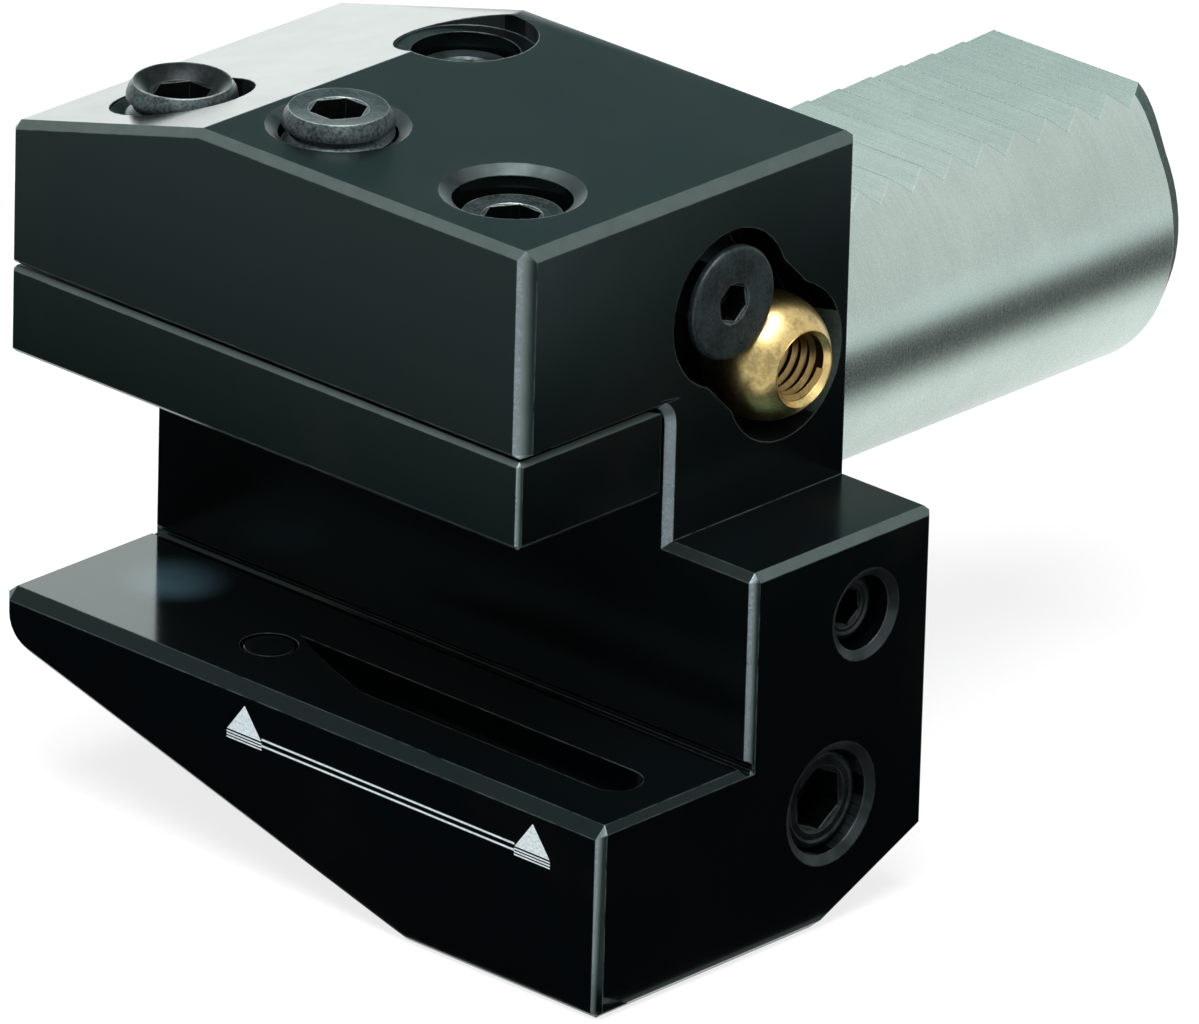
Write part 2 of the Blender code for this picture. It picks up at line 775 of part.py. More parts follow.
def make_holder_body(parts, cutters, finish):
    """Head and shank in one piece, with every hole and channel."""
    body = extruded("holder_body", head_outline(), FRONT, 0, "Y", parts, finish)
    left, right = -HEAD_LEFT - PAST, HEAD_RIGHT + PAST
    slot = extruded("slot_cut", slot_outline(), left, right, "X", cutters)
    rear = extruded("rear_slope_cut", rear_slope_outline(), left, right, "X", cutters)
    cut(body, slot, rear)
    bevel_edges(body, edge_width)
    combine(body, make_shank(cutters), "UNION")
    cut(body, *make_clamp_holes(cutters))
    cut(body, *make_hanger_holes(cutters))
    cut(body, make_riser(cutters), make_side_plug_hole(cutters), make_valve_hole(cutters))
    cut(body, *make_nozzle_cuts(cutters))
    cut(body, *make_ledge_cuts(cutters))
    cut(body, *make_port_cuts(cutters))
    return body


def bar_edge_width(point):
    """The bar's upper back edge clears the fillet of the slot."""
    if near(point.z, BAR_TOP) and near(point.y, WALL - BAR_WALL_GAP):
        return BAR_BACK_CHAMFER
    return BAR_CHAMFER


def make_clamp_bar(parts, cutters, finish):
    """The bar that presses on the tool, with a counterbore for each hanger and its spring."""
    left, right = -HEAD_LEFT + BAR_END_SETBACK, BLOCK_RIGHT - BAR_END_SETBACK
    back = WALL - BAR_WALL_GAP
    size = Vector((right - left, back - FRONT, BAR_THICKNESS))
    middle = Vector(((left + right) / 2, (back + FRONT) / 2, BAR_TOP - BAR_THICKNESS / 2))
    mesh = bpy.data.meshes.new("clamp_bar")
    bm = bmesh.new()
    bmesh.ops.create_cube(bm, size=1)
    bmesh.ops.scale(bm, vec=size, verts=bm.verts)
    bmesh.ops.translate(bm, vec=middle, verts=bm.verts)
    bm.to_mesh(mesh)
    bm.free()
    bar = add_object("clamp_bar", mesh, parts, finish)
    bevel_edges(bar, bar_edge_width)
    for side, x in zip(("left", "right"), HANGER_XS):
        wide = HANGER_HEAD / 2 + GAP
        narrow = HANGER_DIAMETER / 2 + GAP
        bore = turned(
            f"bar_counterbore_{side}",
            [
                (0, BAR_TOP + PAST),
                (narrow, BAR_TOP + PAST),
                (narrow, SPRING_SEAT),
                (wide, SPRING_SEAT),
                (wide, BAR_BOTTOM - PAST),
                (0, BAR_BOTTOM - PAST),
            ],
            cutters,
            steps=FINE_STEPS,
        )
        place(bore, (x, CLAMP_ROW, 0))
        cut(bar, bore)
    return bar


def socket(name, across_flats, depth, top, cutters):
    """A hexagon socket from a face at this height down."""
    return hexagon(name, across_flats, top - depth, top + PAST, cutters)


def set_screw(name, diameter, face, length, hex_size, hex_depth, location, direction, parts, cutters,
              finish, dish=0.0, round_height=0.0009, steps=ROUND_STEPS):
    """A headless screw: its socket end is at location and its tip lies back along direction."""
    radius = diameter / 2
    face_radius = face / 2
    drop = radius - face_radius
    shoulder = []
    for i in range(5):
        angle = math.pi / 2 * i / 4
        shoulder.append((face_radius + drop * math.sin(angle), -round_height * (1 - math.cos(angle))))
    centre = [(0, 0)]
    if dish > SMALL:
        centre = [(0, -dish), (hex_size / math.sqrt(3), -dish)]
    tip = drop * 1.5
    screw = turned(
        name,
        [*centre, *shoulder, (radius, -length + tip), (radius - tip, -length), (0, -length)],
        parts,
        finish,
        steps=steps,
    )
    hexagonal = socket(name + "_socket", hex_size, hex_depth, 0, cutters)
    cut(screw, hexagonal)
    place(hexagonal, location, direction)
    return place(screw, location, direction)


def make_clamp_screws(parts, cutters, finish):
    """The three screws that press the bar down: each stands on the bar."""
    rows = zip(("left", "middle", "right"), CLAMP_XS, CLAMP_SCREW_RISES, CLAMP_SCREW_DISHES)
    for side, x, rise, dish in rows:
        top = TOP_HEIGHT + rise
        length = top - BAR_TOP - GAP
        set_screw(
            f"clamp_screw_{side}", CLAMP_SCREW_DIAMETER, CLAMP_SCREW_FACE, length, CLAMP_HEX,
            CLAMP_HEX_DEPTH, (x, CLAMP_ROW, top), (0, 0, 1), parts, cutters, finish, dish=dish,
        )


def make_hangers(parts, cutters, steel, spring_steel):
    """The cap screws that carry the bar and the springs that lift it against the block."""
    for side, x in zip(("left", "right"), HANGER_XS):
        top = SLOT_TOP + HANGER_GRIP
        head, shank = HANGER_HEAD / 2, HANGER_DIAMETER / 2
        screw = turned(
            f"hanger_screw_{side}",
            [
                (0, top),
                (shank * 0.7, top),
                (shank, top - shank * 0.3),
                (shank, HANGER_HEAD_TOP),
                (head, HANGER_HEAD_TOP),
                (head, HANGER_HEAD_BOTTOM),
                (0, HANGER_HEAD_BOTTOM),
            ],
            parts,
            steel,
            steps=FINE_STEPS,
        )
        place(screw, (x, CLAMP_ROW, 0))
        low = HANGER_HEAD_BOTTOM - PAST
        high = HANGER_HEAD_BOTTOM + HANGER_HEX_DEPTH
        hexagonal = hexagon(f"hanger_socket_{side}", HANGER_HEX, low, high, cutters)
        place(hexagonal, (x, CLAMP_ROW, 0))
        cut(screw, hexagonal)
        make_spring(f"bar_spring_{side}", x, parts, spring_steel)


def make_spring(name, x, parts, finish):
    """A short helical spring between a hanger's head and the bar's web."""
    inner = HANGER_DIAMETER / 2 + GAP
    radius = (inner + HANGER_HEAD / 2) / 2
    low = HANGER_HEAD_TOP + GAP + SPRING_WIRE / 2
    high = SPRING_SEAT - GAP - SPRING_WIRE / 2
    curve = bpy.data.curves.new(name, "CURVE")
    curve.dimensions = "3D"
    curve.bevel_depth = SPRING_WIRE / 2
    curve.bevel_resolution = 2
    curve.use_fill_caps = True
    spline = curve.splines.new("POLY")
    count = SPRING_TURNS * SPRING_POINTS_PER_TURN
    spline.points.add(count)
    for i, point in enumerate(spline.points):
        angle = 2 * math.pi * i / SPRING_POINTS_PER_TURN
        height = low + (high - low) * i / count
        point.co = (radius * math.cos(angle), radius * math.sin(angle), height, 1)
    spring = add_object(name, curve, parts, finish)
    spring.location = (x, CLAMP_ROW, 0)
    return spring


def make_plugs(parts, cutters, steel, bright):
    """The screws and the pressed plug that close the ends of the channels."""
    rear_top = TOP_HEIGHT - RISER_PLUG_DEPTH
    set_screw(
        "rear_channel_plug", PLUG_DIAMETER, PLUG_FACE, PLUG_LENGTH, PLUG_HEX, PLUG_HEX_DEPTH,
        (RISER_X, -CHANNEL_SETBACK, rear_top), (0, 0, 1), parts, cutters, bright,
    )
    face = HEAD_RIGHT - SIDE_PLUG_RECESS
    set_screw(
        "side_channel_plug", PLUG_DIAMETER, PLUG_FACE, PLUG_LENGTH, PLUG_HEX, PLUG_HEX_DEPTH,
        (face, -SIDE_PLUG_SETBACK, -SIDE_PLUG_DEPTH), (1, 0, 0), parts, cutters, steel,
    )
    set_screw(
        "spare_port_plug", SPARE_PLUG_DIAMETER, SPARE_PLUG_DIAMETER * 0.9, SPARE_PLUG_LENGTH,
        SPARE_PLUG_HEX, SPARE_PLUG_HEX_DEPTH, (PORT_SPREAD, -SPARE_PLUG_SUNK, -PORT_DEPTH),
        (0, 1, 0), parts, cutters, steel,
    )
    top = -SEAT_DROP - SEAT_PLUG_SUNK
    radius = SEAT_PLUG_HOLE / 2 - GAP
    plug = turned(
        "seat_plug",
        [(0, 0), (radius, 0), (radius, -SEAT_PLUG_THICKNESS), (0, -SEAT_PLUG_THICKNESS)],
        parts,
        steel,
        steps=FINE_STEPS,
    )
    place(plug, (SEAT_PLUG_X, SEAT_PLUG_Y, top))


def make_valve(parts, cutters, steel, bright):
    """The shut-off screw and the ball that it pushes onto its seat."""
    set_screw(
        "valve_screw", VALVE_SCREW_DIAMETER, VALVE_SCREW_FACE, VALVE_SCREW_LENGTH, VALVE_HEX,
        VALVE_HEX_DEPTH, (HEAD_RIGHT - VALVE_SCREW_RECESS, -CHANNEL_SETBACK, -VALVE_DEPTH),
        (1, 0, 0), parts, cutters, steel, steps=FINE_STEPS,
    )
    mesh = bpy.data.meshes.new("valve_ball")
    bm = bmesh.new()
    bmesh.ops.create_uvsphere(bm, u_segments=20, v_segments=12, radius=VALVE_BALL / 2)
    bm.to_mesh(mesh)
    bm.free()
    ball = add_object("valve_ball", mesh, parts, bright)
    place(ball, (VALVE_BALL_X, -CHANNEL_SETBACK, -VALVE_DEPTH), (1, 0, 0))


def make_nozzle_ball(parts, finish):
    """The brass ball, turned with a flat, a threaded mouth and a port at the back."""
    radius = BALL_DIAMETER / 2
    thread, mouth, port = NOZZLE_THREAD / 2, NOZZLE_MOUTH / 2, BALL_PORT / 2
    start = math.acos(BALL_FLAT / radius)
    end = math.pi - math.asin(port / radius)
    steps = 18
    outside = []
    for i in range(steps + 1):
        angle = start + (end - start) * i / steps
        outside.append((radius * math.sin(angle), radius * math.cos(angle)))
    thread_end = BALL_FLAT - NOZZLE_THREAD_DEPTH
    inside = [
        (port, thread_end - (thread - port) / math.tan(MOUTH_ANGLE)),
        (thread, thread_end),
        (thread, BALL_FLAT - (mouth - thread)),
        (mouth, BALL_FLAT),
    ]
    ball = turned("nozzle_ball", outside + inside, parts, finish, steps=40, ring=True)
    return place(ball, (NOZZLE_X, -CHANNEL_SETBACK, BALL_HEIGHT), (1, 0, 0))


def make_nozzle_screw(parts, cutters, finish):
    """The countersunk screw whose head holds the ball in its seat."""
    head, shank = NOZZLE_SCREW_HEAD / 2, NOZZLE_SCREW_DIAMETER / 2
    cone = head - shank
    tip = shank * 0.25
    screw = turned(
        "nozzle_screw",
        [
            (0, 0),
            (head - NOZZLE_SCREW_RIM / 2, 0),
            (head, -NOZZLE_SCREW_RIM / 2),
            (head, -NOZZLE_SCREW_RIM),
            (shank, -NOZZLE_SCREW_RIM - cone),
            (shank, -NOZZLE_SCREW_LENGTH + tip),
            (shank - tip, -NOZZLE_SCREW_LENGTH),
            (0, -NOZZLE_SCREW_LENGTH),
        ],
        parts,
        finish,
    )
    y = -CHANNEL_SETBACK - NOZZLE_SCREW_BACK
    location = (BLOCK_RIGHT + NOZZLE_SCREW_PROUD, y, BALL_HEIGHT + NOZZLE_SCREW_RISE)
    hexagonal = socket("nozzle_screw_socket", NOZZLE_HEX, NOZZLE_HEX_DEPTH, 0, cutters)
    cut(screw, hexagonal)
    place(hexagonal, location, (1, 0, 0))
    return place(screw, location, (1, 0, 0))


def make_seals(parts, rubber):
    """Sealing rings at the shank's root, in the inlet port and behind the ball."""
    groove_radius = SHANK_DIAMETER / 2 - FLANGE_SEAL_GROOVE_DEPTH
    ring = 2 * (groove_radius + GAP) + FLANGE_SEAL_CORD
    flange = torus("flange_seal", ring, FLANGE_SEAL_CORD, 56, parts, rubber)
    place(flange, (0, GAP + FLANGE_SEAL_CORD / 2, 0), (0, 1, 0))
    inlet = torus("inlet_seal", PORT_SEAL_DIAMETER, PORT_SEAL_CORD, 32, parts, rubber)
    middle = PORT_SEAL_PROUD - PORT_SEAL_CORD / 2
    place(inlet, (-PORT_SPREAD, middle, -PORT_DEPTH), (0, 1, 0))
    nozzle = torus("nozzle_seal", NOZZLE_SEAL_DIAMETER, NOZZLE_SEAL_CORD, 32, parts, rubber)
    place(nozzle, (nozzle_seal_x(), -CHANNEL_SETBACK, BALL_HEIGHT), (1, 0, 0))


def main():
    clear_scene()
    parts = new_collection("tool_holder")
    cutters = new_collection("cutters")
    blackened = material("blackened_steel", (0.03, 0.032, 0.036), 0.35, 0.9)
    screw_steel = material("screw_steel", (0.09, 0.095, 0.10), 0.4, 0.9)
    bright = material("bright_steel", (0.55, 0.56, 0.57), 0.3, 1.0)
    brass = material("brass", (0.72, 0.53, 0.24), 0.3, 1.0)
    rubber = material("rubber", (0.02, 0.02, 0.02), 0.8, 0.0)
    make_holder_body(parts, cutters, blackened)
    make_clamp_bar(parts, cutters, blackened)
    make_clamp_screws(parts, cutters, screw_steel)
    make_hangers(parts, cutters, screw_steel, bright)
    make_plugs(parts, cutters, screw_steel, bright)
    make_valve(parts, cutters, screw_steel, bright)
    make_nozzle_ball(parts, brass)
    make_nozzle_screw(parts, cutters, screw_steel)
    make_seals(parts, rubber)
    for obj in parts.objects:
        if obj.type == "MESH":
            obj.data.shade_smooth()
            obj.data.set_sharp_from_angle(angle=math.radians(30))


main()
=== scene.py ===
"""Finished look of a lathe's turret tool holder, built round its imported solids."""

import math

import bmesh
import bpy
from mathutils import Matrix, Vector


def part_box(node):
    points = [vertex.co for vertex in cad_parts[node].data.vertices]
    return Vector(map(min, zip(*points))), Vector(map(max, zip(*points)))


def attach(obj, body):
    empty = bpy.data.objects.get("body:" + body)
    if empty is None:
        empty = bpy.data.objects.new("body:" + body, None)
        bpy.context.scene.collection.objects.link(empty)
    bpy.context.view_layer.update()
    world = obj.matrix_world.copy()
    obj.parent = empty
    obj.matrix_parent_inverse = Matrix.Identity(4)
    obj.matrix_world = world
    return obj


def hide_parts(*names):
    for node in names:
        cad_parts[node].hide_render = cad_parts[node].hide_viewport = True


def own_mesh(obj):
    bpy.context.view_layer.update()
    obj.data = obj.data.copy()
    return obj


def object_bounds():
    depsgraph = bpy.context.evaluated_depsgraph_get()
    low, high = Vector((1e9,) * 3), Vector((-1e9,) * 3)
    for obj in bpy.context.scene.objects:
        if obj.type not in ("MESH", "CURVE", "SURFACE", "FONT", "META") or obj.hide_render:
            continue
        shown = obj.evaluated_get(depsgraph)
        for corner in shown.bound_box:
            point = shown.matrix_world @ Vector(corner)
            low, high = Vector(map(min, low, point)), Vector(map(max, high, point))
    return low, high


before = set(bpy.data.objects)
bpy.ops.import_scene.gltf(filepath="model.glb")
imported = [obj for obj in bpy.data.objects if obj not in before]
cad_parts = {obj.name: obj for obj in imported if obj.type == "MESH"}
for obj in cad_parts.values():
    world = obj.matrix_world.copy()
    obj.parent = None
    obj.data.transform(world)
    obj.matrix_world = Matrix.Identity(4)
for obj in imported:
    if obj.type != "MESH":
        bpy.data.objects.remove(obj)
CAD_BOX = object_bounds()

bl_info = {
    "name": "Turret tool holder",
    "version": (1, 0, 0),
    "blender": (4, 5, 0),
    "location": "View3D > Sidebar > Tool holder",
    "description": "Dresses the packed solids of a turret tool holder for a picture",
    "category": "Object",
}

MM = 0.001
PICTURE = (1199, 1024)
SENSOR = 36.0

CLAMP_ROW = -30.5 * MM
CLAMP_XS = {"left": -24.0 * MM, "middle": -5.8 * MM, "right": 14.3 * MM}
RISER = (-12.5 * MM, -8.0 * MM)
BLOCK_RIGHT = 25.0 * MM
HEAD_RIGHT = 35.0 * MM
HEAD_FRONT = -40.0 * MM
SEAT_TOP = -20.5 * MM
BALL_MIDDLE = (22.7 * MM, -8.0 * MM, 9.4 * MM)
NOZZLE_SCREW_AXIS = (-15.0 * MM, 16.8 * MM)
GROOVE_ROW = -31.5 * MM
ARROWS = (-6.25, 27.2)
SEAT_PLUG_SPOT = (-10.8 * MM, -32.4 * MM)
HANGER_XS = (-14.9 * MM, 4.25 * MM)
POCKET_FLOOR = 15 * MM
POCKET_REACH = 7.3 * MM
# Middle and soft edge of a painted bluish reflection (painted sheen) on the seat near the ledge's left end.
PAINTED_SHEEN_SPOT = (-26.0 * MM, -28.2 * MM)
PAINTED_SHEEN_REACH = (1.2 * MM, 5.6 * MM)
VALVE_AXIS = (-8.0 * MM, -10.5 * MM)
SIDE_PLUG_AXIS = (-11.6 * MM, -26.8 * MM)
PORTS = ((-11.5 * MM, -24.8 * MM), (11.5 * MM, -24.8 * MM))
HOLE_REACH = {
    "clamp": 6.6 * MM, "hanger": 2.4 * MM, "riser": 6.5 * MM, "seat_plug": 2.7 * MM, "valve": 4.4 * MM,
    "side_plug": 5.8 * MM, "port": 5.2 * MM,
}
GROOVE_REACH = 2.7 * MM
UNDER_BLOCK = 9 * MM
FRONT_PART = -30 * MM
SLACK = 0.02 * MM


def millimetres(value, name, description):
    """A length that a user may change."""
    return bpy.props.FloatProperty(
        name=name, description=description, default=value * MM, unit="LENGTH", subtype="DISTANCE", precision=5
    )


def shade(colour, name, description):
    """A colour that a user may change."""
    return bpy.props.FloatVectorProperty(
        name=name, description=description, default=colour, size=3, min=0.0, max=1.0, subtype="COLOR"
    )


class HolderSizes(bpy.types.PropertyGroup):
    """Sizes of the fine detail that the solids leave out."""

    clamp_pitch: millimetres(1.5, "Clamp thread pitch", "Rise of the clamping screws' thread in one turn")
    clamp_thread: millimetres(0.62, "Clamp thread depth", "Depth of the clamping screws' thread")
    outlet_pitch: millimetres(1.0, "Outlet thread pitch", "Rise of the nozzle's inner thread in one turn")
    outlet_thread: millimetres(0.45, "Outlet thread depth", "Depth of the nozzle's inner thread")
    wire: millimetres(0.4, "Spring wire", "Diameter of the lifting springs' wire")
    mark_depth: millimetres(0.012, "Mark depth", "How deep the range mark is set into the front")
    edge: millimetres(0.16, "Edge radius", "Rounding that shows along each edge")
    spring_turns: bpy.props.FloatProperty(
        name="Spring turns", description="Turns of each lifting spring", default=2.0, min=1.0, max=6.0
    )


class HolderColours(bpy.types.PropertyGroup):
    """Colours of the holder's finishes."""

    black: shade((0.0008, 0.0014, 0.0018), "Black oxide", "Colour of the blackened head")
    brown: shade((0.0040, 0.0032, 0.0024), "Oxide bloom", "Warm clouds in the blackening")
    # worn also colours the thin lines along the black edges, which are partly worn steel and partly a painted
    # edge highlight.
    worn: shade((0.230, 0.275, 0.300), "Worn edge", "Steel where the blackening has rubbed off")
    # ground is also mixed into the screws' rims, partly worn steel and partly a painted edge highlight.
    ground: shade((0.530, 0.635, 0.590), "Ground steel", "Colour of the shank")
    bored: shade((0.040, 0.052, 0.053), "Bored steel", "Colour of the drilled and countersunk mouths")
    screw: shade((0.066, 0.088, 0.092), "Screw steel", "Colour of the socket screws")
    brass: shade((0.740, 0.560, 0.235), "Brass", "Colour of the nozzle ball")
    bright: shade((0.50, 0.54, 0.53), "Bright steel", "Colour of the springs and the valve's ball")
    rubber: shade((0.018, 0.018, 0.019), "Rubber", "Colour of the sealing rings")
    # cut also colours the nozzle pocket's far wall, where the paler finish is a painted lit side.
    cut: shade((0.055, 0.080, 0.076), "Cut steel", "Colour of the shank's end chamfer")
    # sheen: the colour of that painted bluish reflection on the ledge, not a tint of the steel.
    sheen: shade((0.060, 0.120, 0.150), "Ledge sheen", "Bluish tint near the left end of the ledge")
    mark: shade((0.47, 0.54, 0.56), "Engraved mark", "Colour of the range mark")


class StudioSettings(bpy.types.PropertyGroup):
    """The camera and the light."""

    turn: bpy.props.FloatProperty(
        name="Camera turn", description="Turn from the right side towards the front",
        default=math.radians(47.4092), subtype="ANGLE", unit="ROTATION"
    )
    rise: bpy.props.FloatProperty(
        name="Camera rise", description="Height of the view above the floor's level",
        default=math.radians(23.2462), subtype="ANGLE", unit="ROTATION"
    )
    roll: bpy.props.FloatProperty(
        name="Camera roll", description="Lean of the picture", default=math.radians(1.5759),
        subtype="ANGLE", unit="ROTATION"
    )
    distance: millimetres(1537.065, "Camera distance", "From the camera to the middle of the shank's root")
    aside: millimetres(-2.5756, "Camera aside", "How far the camera stands to the right of its aim")
    above: millimetres(-13.2973, "Camera above", "How far the camera stands above its aim")
    focal: bpy.props.FloatProperty(
        name="Focal length", description="Focal length in pixels of the picture", default=18057.39, min=100.0
    )
    room: bpy.props.FloatProperty(
        name="Room light", description="Light of the surroundings", default=0.55, min=0.0, max=2.0
    )
    lamp: bpy.props.FloatProperty(
        name="Lamp power", description="Power of the lamp overhead", default=9.0, min=0.0, unit="POWER"
    )
    card: bpy.props.FloatProperty(
        name="Card", description="Brightness of the card behind the left end", default=3.0, min=0.0
    )


# finishes


class Wire:
    """One value inside a material, on which the ordinary signs for sums work."""

    def __init__(self, finish, socket):
        self.finish = finish
        self.socket = socket

    def __add__(self, other):
        return self.finish.sum("ADD", self, other)

    __radd__ = __add__

    def __sub__(self, other):
        return self.finish.sum("SUBTRACT", self, other)

    def __rsub__(self, other):
        return self.finish.sum("SUBTRACT", other, self)

    def __mul__(self, other):
        return self.finish.sum("MULTIPLY", self, other)

    __rmul__ = __mul__


class Finish:
    """A material while it is being made."""

    def __init__(self, name):
        self.material = bpy.data.materials.new(name)
        self.material.use_nodes = True
        self.tree = self.material.node_tree
        self.tree.nodes.clear()

    def node(self, kind, settings=None, sockets=None):
        """Adds a node: its settings first, then the values or links of its sockets."""
        made = self.tree.nodes.new(kind)
        for name, value in (settings or {}).items():
            if name == "stops":
                ramp = made.color_ramp.elements
                while len(ramp) < len(value):
                    ramp.new(0.5)
                for element, (position, colour) in zip(ramp, value):
                    element.position = position
                    element.color = colour
            else:
                setattr(made, name, value)
        for name, value in (sockets or {}).items():
            if isinstance(value, Wire):
                self.tree.links.new(value.socket, made.inputs[name])
            else:
                made.inputs[name].default_value = value
        return made

    def wire(self, made, output=0):
        """The value that a node gives."""
        return Wire(self, made.outputs[output])

    def sum(self, operation, *terms):
        """One sum on values."""
        sockets = {i: term for i, term in enumerate(terms)}
        return self.wire(self.node("ShaderNodeMath", {"operation": operation}, sockets))

    def greater(self, first, second):
        """The larger of two values."""
        return self.sum("MAXIMUM", first, second)

    def step(self, value, low, high):
        """0 below low, 1 above high and a soft step between."""
        sockets = {"Value": value, "From Min": low, "From Max": high}
        made = self.node("ShaderNodeMapRange", {"interpolation_type": "SMOOTHSTEP"}, sockets)
        return self.wire(made)

    def mix(self, factor, first, second):
        """A colour between two colours."""
        sockets = {0: factor, 6: first, 7: second}
        return self.wire(self.node("ShaderNodeMix", {"data_type": "RGBA"}, sockets), 2)

    def place(self):
        """Where on the piece a point is, in metres."""
        return self.wire(self.node("ShaderNodeTexCoord"), "Object")

    def parts(self, vector):
        """The three numbers of a vector."""
        split = self.node("ShaderNodeSeparateXYZ", None, {0: vector})
        return [self.wire(split, i) for i in range(3)]

    def stretched(self, vector, scale, location=(0, 0, 0)):
        """The place, stretched and moved for a pattern."""
        sockets = {"Vector": vector, "Scale": scale, "Location": location}
        return self.wire(self.node("ShaderNodeMapping", None, sockets))

    def noise(self, vector, scale=1.0, detail=3.0, roughness=0.5, distortion=0.0):
        """Soft random clouds between 0 and 1."""
        sockets = {
            "Vector": vector,
            "Scale": scale,
            "Detail": detail,
            "Roughness": roughness,
            "Distortion": distortion,
        }
        return self.wire(self.node("ShaderNodeTexNoise", {"noise_dimensions": "3D"}, sockets))

    def length_of(self, first, second):
        """The length of a vector with two parts."""
        return self.sum("SQRT", first * first + second * second)

    def attribute(self, name):
        """A value that is stored on the piece's own faces."""
        return self.wire(self.node("ShaderNodeAttribute", {"attribute_name": name}), "Fac")

    def edge(self, radius):
        """How near an edge a point is, 0 on a flat face, and the normal rounded along the edges."""
        rounded = self.wire(self.node("ShaderNodeBevel", {"samples": 4}, {"Radius": radius}))
        flat = self.wire(self.node("ShaderNodeNewGeometry"), "Normal")
        sockets = {0: rounded, 1: flat}
        dot = self.wire(self.node("ShaderNodeVectorMath", {"operation": "DOT_PRODUCT"}, sockets), "Value")
        return 1.0 - dot, rounded

    def bump(self, height, depth, strength=1.0, normal=None):
        """The normal of a surface with that height, depth metres for a height of 1."""
        sockets = {"Height": height, "Distance": depth, "Strength": strength}
        if normal is not None:
            sockets["Normal"] = normal
        return self.wire(self.node("ShaderNodeBump", None, sockets))

    def coat(self, **sockets):
        """Ends the material in one surface."""
        named = {name.replace("_", " "): value for name, value in sockets.items()}
        if "Specular" in named:
            named["Specular IOR Level"] = named.pop("Specular")
        surface = self.node("ShaderNodeBsdfPrincipled", None, named)
        output = self.node("ShaderNodeOutputMaterial")
        self.tree.links.new(surface.outputs[0], output.inputs["Surface"])
        return self.material


def rgb(colour):
    """A colour with its fourth number."""
    return (colour[0], colour[1], colour[2], 1.0)


def blackened_steel(name, colours, edge, streak=(180, 180, 180), rough=0.17, lay_depth=0.0035, spot=None):
    """Satin black oxide: faint clouds, the fine lay of the tool, rubbed edges with thin edge lines that are
    partly a painted highlight and, at a spot, a painted sheen (a painted reflection).
    """
    finish = Finish(name)
    place = finish.place()
    clouds = finish.noise(place, 46.0, 3.0, 0.55, 0.4)
    specks = finish.noise(place, 2600.0, 3.0, 0.6)
    patches = finish.noise(place, 520.0, 4.0, 0.65)
    lay = finish.noise(finish.stretched(place, streak), 1.0, 4.0, 0.6)
    nearness, rounded = finish.edge(edge)
    rubbed = finish.attribute("worn")
    # Thin lighter lines along every edge: partly worn steel, partly a painted edge highlight.
    line = finish.step(nearness, 0.010, 0.07) * finish.step(patches, 0.30, 0.60)
    even = finish.step(rubbed, 0.1, 0.9) * (0.92 + 0.55 * (patches - 0.5))
    sparkle = finish.step(rubbed, 0.6, 1.0) * finish.step(specks, 0.48, 0.70)
    wear_and_edge_highlight = finish.greater(line * 0.34, even * (0.72 + 0.45 * sparkle))
    black = finish.mix(finish.step(clouds, 0.50, 0.75) * 0.6, rgb(colours.black), rgb(colours.brown))
    green = (0.92 * colours.worn[0], colours.worn[1], 0.86 * colours.worn[2])
    steel = finish.mix(finish.step(rubbed, 0.5, 0.8), rgb(green), rgb(colours.worn))
    base = finish.mix(wear_and_edge_highlight, black, steel)
    # At the spot a painted bluish reflection is mixed into the colour, fading between the two reaches.
    if spot:
        along, across = finish.parts(place)[:2]
        away = finish.length_of(along - spot[0], across - spot[1])
        base = finish.mix(1.0 - finish.step(away, *PAINTED_SHEEN_REACH), base, rgb(colours.sheen))
    dull = rough + 0.07 * clouds + 0.08 * (lay - 0.5) + 0.12 * wear_and_edge_highlight
    return finish.coat(
        Base_Color=base,
        Metallic=wear_and_edge_highlight * 0.9,
        Roughness=dull,
        Specular=0.25,
        Specular_Tint=(0.60, 1.0, 0.96, 1.0),
        Normal=finish.bump(lay * 0.6 + specks * 0.2, lay_depth * MM, 0.35, rounded),
    )


def seat_steel(colours, edge):
    """The blackened tool seat: smoother, with long grinding streaks along the tool and a painted bluish
    reflection near the ledge's left end.
    """
    return blackened_steel(
        "seat_steel", colours, edge, streak=(16, 1500, 1500), rough=0.075, lay_depth=0.0016,
        spot=PAINTED_SHEEN_SPOT,
    )


def ground_steel(name, colours, edge):
    """The shank: finely ground, with a soft even grain round it and a slight cloudiness."""
    finish = Finish(name)
    place = finish.place()
    rings = finish.noise(finish.stretched(place, (60, 7000, 60)), 1.0, 3.0, 0.6)
    clouds = finish.noise(place, 130.0, 4.0, 0.6)
    grain = finish.noise(place, 4200.0, 3.0, 0.65)
    rounded = finish.edge(edge)[1]
    tone = 0.40 * clouds + 0.28 * rings + 0.32 * grain
    dark = tuple(0.86 * part for part in colours.ground)
    base = finish.mix(finish.step(tone, 0.36, 0.64), rgb(dark), rgb(colours.ground))
    return finish.coat(
        Base_Color=base,
        Metallic=0.93,
        Roughness=0.215 + 0.06 * rings + 0.05 * grain,
        Normal=finish.bump(rings * 0.35 + grain * 0.65, 0.0016 * MM, 0.15, rounded),
    )


